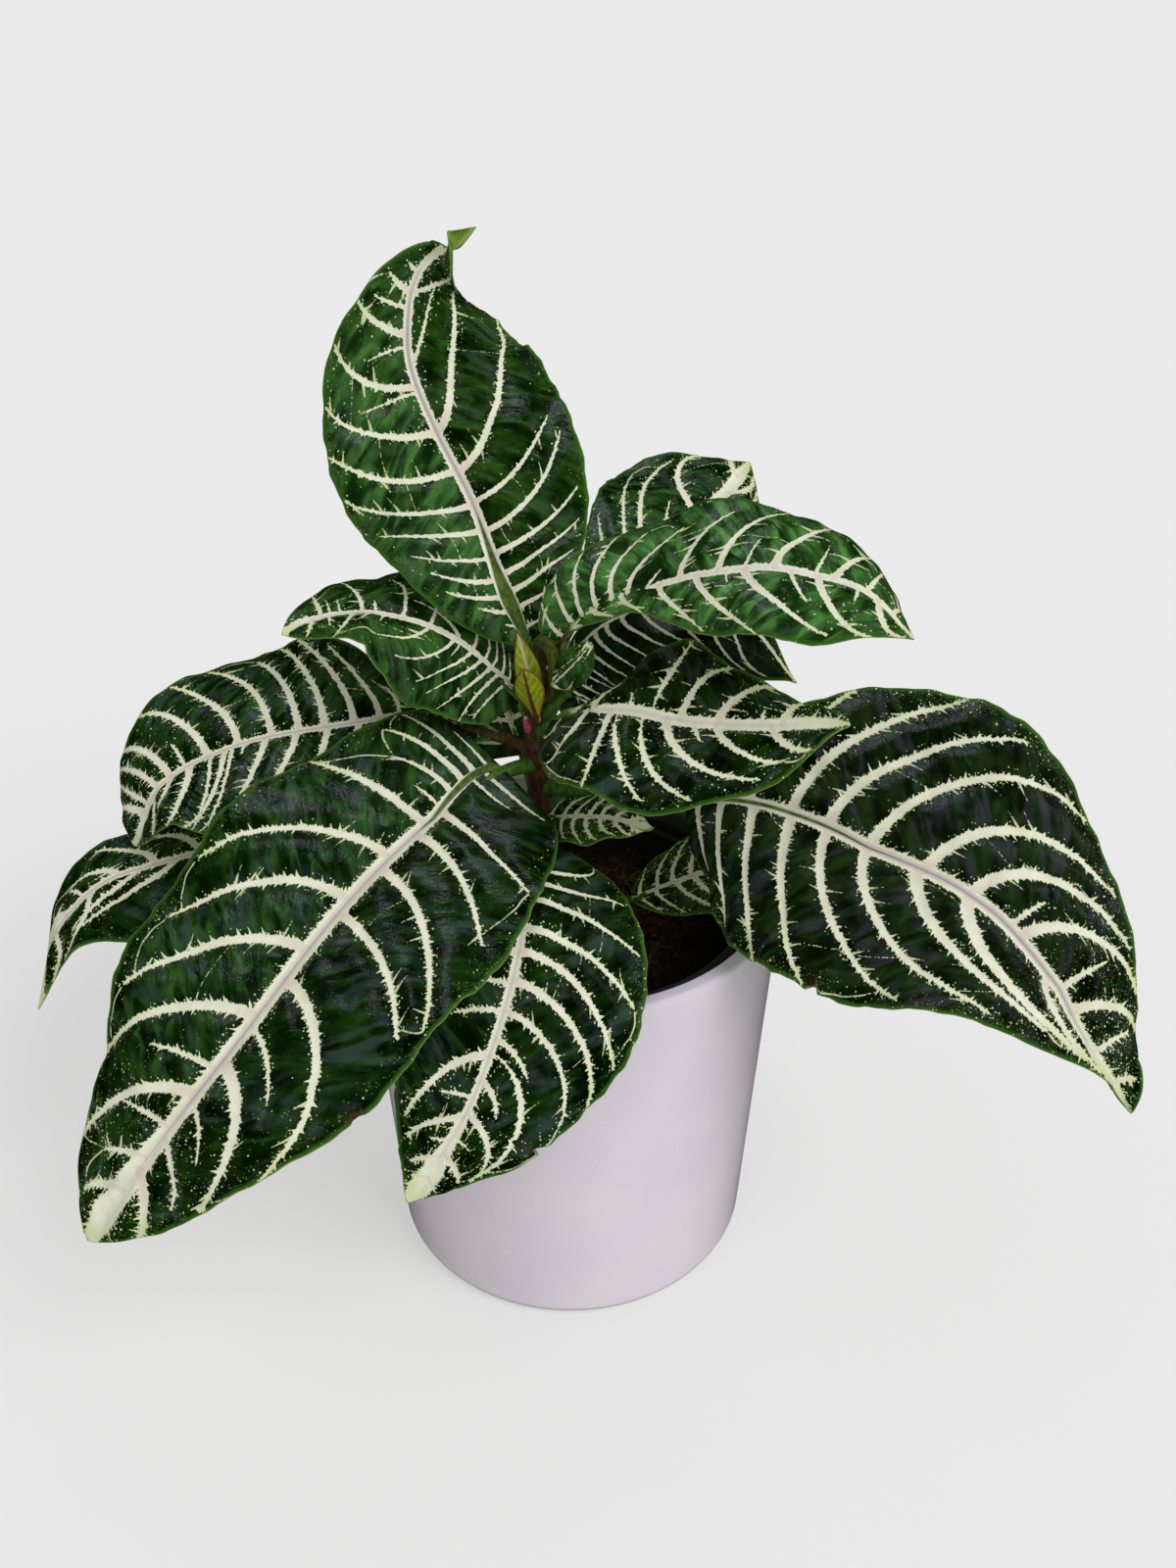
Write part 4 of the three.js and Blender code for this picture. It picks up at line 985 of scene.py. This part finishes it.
def build_leaves():
    lower, margin = leaf_lower(), margin_skin()
    deep = leaf_upper("leaf_deep", (0.0008, 0.0055, 0.0001), (0.0050, 0.0215, 0.0008),
                      (0.016, 0.055, 0.004), (0.040, 0.068, 0.056))
    fresh = leaf_upper("leaf_fresh", (0.0010, 0.0085, 0.0001), (0.0100, 0.0400, 0.0006),
                       (0.032, 0.100, 0.005), (0.042, 0.090, 0.042))
    # The violet-grey look of this skin is painted sheen, on greyer greens.
    violet_sheen = leaf_upper("leaf_violet_sheen", (0.0014, 0.0060, 0.0006), (0.0080, 0.0190, 0.0040),
                        (0.018, 0.042, 0.008), (0.042, 0.044, 0.058))
    green = streaked("stalk_green", (0.030, 0.095, 0.008), (0.085, 0.20, 0.022), (0.12, 0.16, 0.03), 0.2)
    olive = streaked("stalk_olive", (0.035, 0.045, 0.002), (0.095, 0.105, 0.006), (0.06, 0.030, 0.006), 0.4)
    brown = streaked("stalk_brown", (0.045, 0.030, 0.008), (0.12, 0.085, 0.022), (0.055, 0.020, 0.009), 0.7)
    stalks = {"leaf_right_upper": olive, "leaf_left_mid": brown, "leaf_inner_low": olive,
              "leaf_left_low": brown, "leaf_front": olive}
    for seed, (name, leaf) in enumerate(LEAVES.items()):
        pattern = PATTERNS.get(name) or even_pattern(*EVEN_PATTERNS[name], 40 + seed)
        upper = fresh if name in FRESH_LEAVES else violet_sheen if name == "leaf_right_low" else deep
        skins = upper, lower, margin, stalks.get(name, green)
        put(leaf_mesh(name, leaf, pattern, skins, 100 + seed), name)
    pattern = even_pattern(2, 0.45, 61, glow=(0.5, 0.5), thorn=(0.1, 0, 1), rib="0 0.4, 100 0.2")
    lobe = leaf_mesh("leaf_base_lobe", BASE_LOBE, pattern, (fresh, lower, margin, olive), 130)
    put(lobe, "leaf_right_upper")


def build_young_leaves():
    back = young_skin("young_upper", (0.27, 0.37, 0.012), (0.46, 0.55, 0.09), (0.62, 0.50, 0.36),
                      (0.26, 0.16, 0.02))
    front = young_skin("young_lower", (0.23, 0.28, 0.003), (0.36, 0.42, 0.03), (0.08, 0.03, 0.010),
                       (0.20, 0.09, 0.03))
    skin = streaked("young_stalk", (0.20, 0.22, 0.04), (0.36, 0.36, 0.09), (0.32, 0.14, 0.08), 0.6)
    pattern = even_pattern(7, 0.22, 71, thorn=(0, 0, 1), puff=0.5, freckle=0, glow=(0, 0), lilac=0,
                           rib="0 0.6, 50 0.42, 100 0.2", core="0 0")
    for seed, (name, leaf) in enumerate(YOUNG_LEAVES.items()):
        lower = back if name == "young_leaf_back" else front
        put(leaf_mesh(name, leaf, pattern, (back, lower, front, skin), 200 + seed), name)


# ---- bud and stem ----


def build_bud():
    """A small spindle of bracts, pale at its tip, on a thin stalk."""
    begin("bud_bract", Specular_IOR_Level=0.45)
    level = altitude()
    patch = noise(900, 3)
    color = mix(patch.ramp(0.35, 0.7), (0.28, 0.02, 0.07), (0.50, 0.09, 0.14))
    color = mix(level.ramp(0.2022, 0.2008), color, (0.06, 0.055, 0.015))
    color = mix(level.ramp(0.2066, 0.2078), color, (0.70, 0.45, 0.40))
    mesh = MeshParts(finish(color, patch.ramp(0.3, 0.7, 0.35, 0.5), patch, 0.0002))
    line, _ = smooth_line(rows(BUD["path"]), 60)
    share = np.linspace(0, 1, 60)
    swollen = np.sin(np.pi * np.maximum(share - BUD["neck"], 0) / (1 - BUD["neck"]))
    bracts = 1 - 0.16 * ((share * 7) % 1) * (share > BUD["neck"])
    radius = (BUD["stalk"] + (BUD["tip"] - BUD["stalk"]) * share + BUD["swell"] * swollen) * bracts
    mesh.add_tube(line, radius * rounded_end(share, 0.05), 0, 16)
    put(mesh.build("flower_bud"), "bud")


def build_stem():
    mesh = MeshParts(streaked("stem_bark", (0.045, 0.016, 0.008), (0.11, 0.045, 0.020), (0.07, 0.065, 0.015),
                              0.25, 0.5))
    share = np.linspace(0, 1, len(stem_line))
    tip = np.maximum(share - 0.94, 0) / 0.06
    radius = STEM["soil"] + (STEM["top"] - STEM["soil"]) * share
    radius = radius + (STEM["tip"] - radius) * tip
    # A swelling below each leaf's stalk.
    for leaf in LEAVES.values():
        radius = radius + 0.28 * np.exp(-(((stem_line[:, 2] - leaf["node"] + 3) / 1.3) ** 2)) * (1 - tip)
    mesh.add_tube(stem_line, radius * rounded_end(share, 0.006), 0, 32)
    put(mesh.build("main_stem"), "stem")


# ---- pots and soil ----

COVER = {"height": 142, "top": 70, "base": 62, "wall": 5, "floor": 6, "rim": 1.4, "lip": 1.2, "foot": 5,
         "inside": 6}
NURSERY = {"bottom": 6.3, "height": 131, "top": 58.5, "base": 46, "wall": 1.2, "rim_height": 6, "rim": 61}
DRAIN = {"radius": 5, "ring": 30, "count": 4}
SOIL = {"level": 119, "edge": 2, "edge_step": 1.5, "lip": 1, "rise": 6, "gap": 0.3}
SOIL_RINGS, SOIL_SIDES = 64, 150
CRUMBS, FIBRES = 520, 330
FIBRE_POINTS = 9
LATHE_SIDES = 160
LATHE_STEP = 3.0


def arc(radius, z, size, start, end, steps=10):
    angle = np.radians(np.linspace(start, end, steps + 1))
    return list(zip(radius + size * np.cos(angle), z + size * np.sin(angle)))


def circles(radius, z, sides):
    """Rings of points about the axis, one for each radius and height."""
    angle = np.linspace(0, 2 * np.pi, sides, endpoint=False)
    radius, z = np.reshape(radius, (-1, 1)), np.reshape(z, (-1, 1))
    return np.stack([radius * np.cos(angle), radius * np.sin(angle), np.broadcast_to(z, (len(z), sides))], -1)


def turned(name, skin, profile):
    """A closed solid of revolution; its profile starts and ends on the axis."""
    outline = []
    for (r0, z0), (r1, z1) in zip(profile, profile[1:]):
        count = max(math.ceil(math.hypot(r1 - r0, z1 - z0) / LATHE_STEP), 1)
        outline += [(r0 + (r1 - r0) * k / count, z0 + (z1 - z0) * k / count) for k in range(1, count + 1)]
    mesh = MeshParts(skin)
    ends = [(0, 0, profile[0][1]), (0, 0, profile[-1][1])]
    mesh.add_rings(circles(*zip(*outline[:-1]), LATHE_SIDES), ends, 0)
    return mesh.build(name)


def glaze():
    begin("pot_glaze", Coat_Weight=0.6, Coat_Roughness=0.07, Specular_IOR_Level=0.45)
    cloud = noise(14, 4, 0.55)
    distance, lot = cells(420)
    color = mix(cloud.ramp(0.3, 0.7), (0.705, 0.640, 0.715), (0.765, 0.705, 0.765))
    color = mix(distance.ramp(0.16, 0.08) * lot[0].over(0.985) * 0.35, color, (0.45, 0.40, 0.42))
    # Darker lavender on the top of the rim, brownish and rougher on the foot.
    ragged_height = altitude() + noise(90) * 0.0006
    color = mix(ragged_height.ramp(0.1404, 0.1416) * 0.55, color, (0.60, 0.53, 0.70))
    foot = ragged_height.ramp(0.0016, 0.0008)
    color = mix(foot, color, (0.55, 0.49, 0.42))
    rough = cloud.ramp(0.3, 0.7, 0.24, 0.34) + foot * 0.45
    return finish(color, rough, noise(55) + noise(900) * 0.03, 0.0006, 0.5)


def plastic():
    begin("nursery_plastic", Specular_IOR_Level=0.5)
    patch = noise(120, 4, 0.6)
    color = mix(patch.ramp(0.3, 0.7), (0.010, 0.010, 0.012), (0.022, 0.021, 0.024))
    color = mix(noise(700, 4, 0.7).ramp(0.60, 0.78, 0.0, 0.5), color, (0.10, 0.07, 0.055))
    return finish(color, patch.ramp(0.3, 0.7, 0.26, 0.42), noise(600, 3), 0.0002, 0.6)


def peat(name, dark, light, scale):
    begin(name, Specular_IOR_Level=0.2)
    grain = noise(scale, 5, 0.7)
    crumb = cells(scale * 1.3)[0]
    color = mix(grain.ramp(0.35, 0.68), dark, light)
    # Painted shade in the low gaps between the crumbs.
    color = mix(crumb.ramp(0.2, 0.55, 0.0, 0.6), color, dim(dark, 0.35))
    # Painted shade: darker away from the stem, towards the pot's wall.
    away = add_node("ShaderNodeVectorMath", {0: where(), 1: (0.0, 0.0, 0.123)}, operation="DISTANCE")[1]
    color = mix(away.ramp(0.028, 0.046, 0.0, 0.8), color, (0.004, 0.003, 0.003))
    return finish(color, grain.ramp(0.3, 0.7, 0.7, 0.95), grain + crumb * -0.8, 0.0012)


def build_cover_pot():
    top, wall, floor, rim, lip, foot, inside = (
        COVER[key] for key in ("height", "wall", "floor", "rim", "lip", "foot", "inside"))
    slope = (COVER["top"] - COVER["base"]) / top
    mouth, bottom = COVER["base"] - wall + slope * np.array([top, floor + inside])
    edge = COVER["base"] + slope * foot - foot
    profile = [(0, 1.2), (edge - 5, 1.2), (edge - 3.8, 0.0), *arc(edge, foot, foot, -90, 0),
               *arc(COVER["top"] - rim, top - rim, rim, 0, 90), *arc(mouth + lip, top - lip, lip, 90, 180),
               *arc(bottom - inside, floor + inside, inside, 0, -90), (0, floor)]
    put(turned("glazed_pot", glaze(), profile), "cover_pot")


def nursery_wall(z):
    return NURSERY["base"] + (NURSERY["top"] - NURSERY["base"]) * (z - NURSERY["bottom"]) / NURSERY["height"]


def build_nursery_pot():
    bottom, wall, rim = NURSERY["bottom"], NURSERY["wall"], NURSERY["rim"]
    top = bottom + NURSERY["height"]
    low = top - NURSERY["rim_height"]
    inner = nursery_wall(low) - wall
    profile = [(0, bottom), (nursery_wall(bottom) - 1, bottom), (nursery_wall(bottom), bottom + 1),
               (nursery_wall(low), low), (rim - 1.2, low), (rim - 0.3, low + 0.3), (rim, low + 1.2),
               *arc(rim - 1.0, top - 1.0, 1.0, 0, 80, 6), (rim - 1.9, top - 0.35), (rim - 2.4, top - 0.8),
               (inner + 0.5, low + 2.2), (inner + 0.1, low + 1.6), (inner, low), (inner - 0.25, low - 3),
               (inner - 0.9, low - 3.5), (inner - 0.75, low - 4.5),
               (nursery_wall(bottom + wall) - wall, bottom + wall), (0, bottom + wall)]
    piece = turned("growing_pot", plastic(), profile)
    cutters = MeshParts()
    for k in range(DRAIN["count"]):
        angle = 2 * math.pi * (k + 0.5) / DRAIN["count"]
        x, y = DRAIN["ring"] * math.cos(angle), DRAIN["ring"] * math.sin(angle)
        line = np.array([(x, y, bottom - 2), (x, y, bottom), (x, y, bottom + 4)])
        cutters.add_tube(line, np.full(3, DRAIN["radius"]), 0, 24)
    cut = piece.modifiers.new("drain_holes", "BOOLEAN")
    cut.object = cutter = cutters.build("cutter")
    cut.operation = "DIFFERENCE"
    graph = bpy.context.evaluated_depsgraph_get()
    cut_mesh = bpy.data.meshes.new_from_object(piece.evaluated_get(graph))
    piece.modifiers.clear()
    piece.data = cut_mesh
    bpy.data.objects.remove(cutter)
    put(piece, "nursery_pot")


def soil_radius(z):
    return nursery_wall(z) - NURSERY["wall"] - SOIL["gap"]


SOIL_EDGE = SOIL["level"] - SOIL["edge"]


def soil_height(x, y):
    """Height of the peat's surface: a low mound with lumps."""
    share = np.minimum(np.hypot(x, y) / (soil_radius(SOIL_EDGE) - SOIL["edge_step"]), 1)
    z = SOIL["level"] + SOIL["lip"] + SOIL["rise"] * (1 - share**2)
    z = z + 0.6 * np.sin(0.31 * x + 0.27 * y + 0.2) + 0.6 * np.sin(0.31 * x - 0.27 * y + 1)
    lumps = [field.fractal(Vector((a * 0.16, b * 0.16, 0.5)), 0.7, 2.1, 5)
             for a, b in zip(np.ravel(x), np.ravel(y))]
    return z + 0.5 * np.sin(0.5 * (x + y)) + 1.1 * np.reshape(lumps, np.shape(x))


def add_crumb(mesh, chance, place, size, material):
    """A small angular lump."""
    rings = [(math.cos(k * math.pi / 3 + turn), math.sin(k * math.pi / 3 + turn), z)
             for turn, z in ((0, -0.35), (0.5, 0.4)) for k in range(6)]
    points = [(0, 0, -1), *rings, (0, 0, 1)]
    points = np.array(points) * chance.uniform(0.65, 1.25, (14, 3)) * chance.uniform(0.6, 1.3, 3)
    a, b = chance.uniform(0, 6.28, 2)
    turn = np.array([(math.cos(a), -math.sin(a), 0), (math.sin(a), math.cos(a), 0), (0, 0, 1)])
    tilt = np.array([(1, 0, 0), (0, math.cos(b), -math.sin(b)), (0, math.sin(b), math.cos(b))])
    base = mesh.add_points(points @ tilt.T @ turn.T * size + place)
    faces = []
    for k, n in zip(range(6), (1, 2, 3, 4, 5, 0)):
        faces += [(0, 1 + n, 1 + k), (1 + k, 1 + n, 7 + k), (1 + n, 7 + n, 7 + k), (7 + k, 7 + n, 13)]
    mesh.add_faces(np.array(faces) + base, material)


def build_soil():
    """The peat with crumbs of bark and fibres of coir on it."""
    mesh = MeshParts(peat("peat", (0.026, 0.011, 0.009), (0.100, 0.036, 0.024), 260),
                     peat("coir_fibre", (0.20, 0.070, 0.040), (0.46, 0.21, 0.13), 500),
                     peat("bark_chip", (0.10, 0.030, 0.014), (0.22, 0.08, 0.035), 300))
    bottom = NURSERY["bottom"] + NURSERY["wall"] + SOIL["gap"]
    radius = np.linspace(soil_radius(SOIL_EDGE) - SOIL["edge_step"], 0.5, SOIL_RINGS)
    top = circles(radius, 0 * radius, SOIL_SIDES)
    top[..., 2] = soil_height(top[..., 0], top[..., 1])
    wall = circles([soil_radius(bottom), soil_radius(SOIL_EDGE)], [bottom, SOIL_EDGE], SOIL_SIDES)
    mesh.add_rings(np.concatenate([wall, top]), [(0, 0, bottom), (0, 0, top[-1, 0, 2])], 0)
    chance = np.random.default_rng(5)
    inside = soil_radius(SOIL_EDGE) - 4

    def spot():
        r, a = inside * math.sqrt(chance.random()), chance.uniform(0, 6.28)
        return np.array([r * math.cos(a), r * math.sin(a)])

    for k in range(CRUMBS):
        x, y = spot()
        size = 0.5 + 1.5 * chance.random() ** 3
        z = soil_height(np.array([x]), np.array([y]))[0]
        add_crumb(mesh, chance, (x, y, z - 0.1 * size), size, 2 if k % 9 == 0 else 0)
    t = np.linspace(0, 1, FIBRE_POINTS)
    for _ in range(FIBRES):
        start = spot()
        heading, length, bend = chance.uniform(0, 6.28), chance.uniform(5, 20), chance.uniform(-1.6, 1.6)
        course = heading + bend * t + 0.5 * np.sin(t * chance.uniform(4, 9))
        step = np.stack([np.cos(course), np.sin(course)], -1) * length / (FIBRE_POINTS - 1)
        flat = start + np.cumsum(step, 0) - step[0]
        if (np.hypot(*flat.T) > inside).any():
            continue
        z = soil_height(flat[:, 0], flat[:, 1]) + 0.25 + chance.uniform(0.2, 1.8) * np.sin(np.pi * t)
        mesh.add_tube(np.column_stack([flat, z]), chance.uniform(0.12, 0.3) * (1 - 0.6 * t), 1, 5)
    put(mesh.build("potting_mix"), "soil")


build_leaves()
build_young_leaves()
build_bud()
build_stem()
build_cover_pot()
build_nursery_pot()
build_soil()

# ---- camera, floor and light ----


def aim(item, place, target):
    """Turns a camera or a light from one place towards another."""
    item.rotation_euler = (Vector(target) - Vector(place)).to_track_quat("-Z", "Y").to_euler()


def add_camera():
    data = bpy.data.cameras.new("camera")
    data.lens = data.sensor_width = 36
    camera = add_object("camera", data)
    target = Vector((0.006, 0, 0.178))
    distance, elevation = 0.5, math.radians(32)
    camera.location = target + distance * Vector((0, -math.cos(elevation), math.sin(elevation)))
    aim(camera, camera.location, target)
    bpy.context.scene.camera = camera


def add_floor():
    mesh = bpy.data.meshes.new("floor")
    size = 12
    corners = [(-size, -size, 0), (size, -size, 0), (size, size, 0), (-size, size, 0)]
    mesh.from_pydata(corners, [], [(0, 1, 2, 3)])
    begin("floor_paper", Specular_IOR_Level=0.0, Emission_Strength=0.39)
    grain = noise(30, 3)
    color = mix(grain, (0.450, 0.450, 0.450), (0.455, 0.455, 0.455))
    mesh.materials.append(finish(color, grain.ramp(0, 1, 0.9, 1.0)))
    floor = add_object("floor", mesh)
    floor.visible_glossy = False


def add_sun():
    """Soft light from the front right, for the shading and the shadow at the left."""
    sun = bpy.data.lights.new("key", "SUN")
    sun.energy = 1.5
    sun.angle = math.radians(35)
    key = add_object("key", sun)
    aim(key, (0, 0, 0), (-0.7, 0.6, -0.9))
    key.visible_glossy = False


def add_softbox(name, place, size, energy):
    """A panel that shows only as a reflection."""
    area = bpy.data.lights.new(name, "AREA")
    area.shape = "RECTANGLE"
    area.size, area.size_y = size
    area.energy = energy
    area.color = (0.84, 0.92, 1.0)
    panel = add_object(name, area)
    panel.location = place
    aim(panel, place, (0, 0, 0.2))
    panel.visible_diffuse = False


def add_world():
    world = bpy.data.worlds.new("studio")
    world.use_nodes = True
    background = world.node_tree.nodes["Background"]
    background.inputs[0].default_value = (1, 1, 1, 1)
    background.inputs[1].default_value = 0.64
    world.cycles_visibility.glossy = False
    bpy.context.scene.world = world
    bpy.context.scene.view_settings.view_transform = "Standard"


add_camera()
add_floor()
add_sun()
add_softbox("overhead", (-0.15, 0.25, 1.3), (0.38, 0.38), 2.2)
add_softbox("right_window", (1.2, -0.2, 0.9), (0.4, 0.9), 1.3)
add_world()
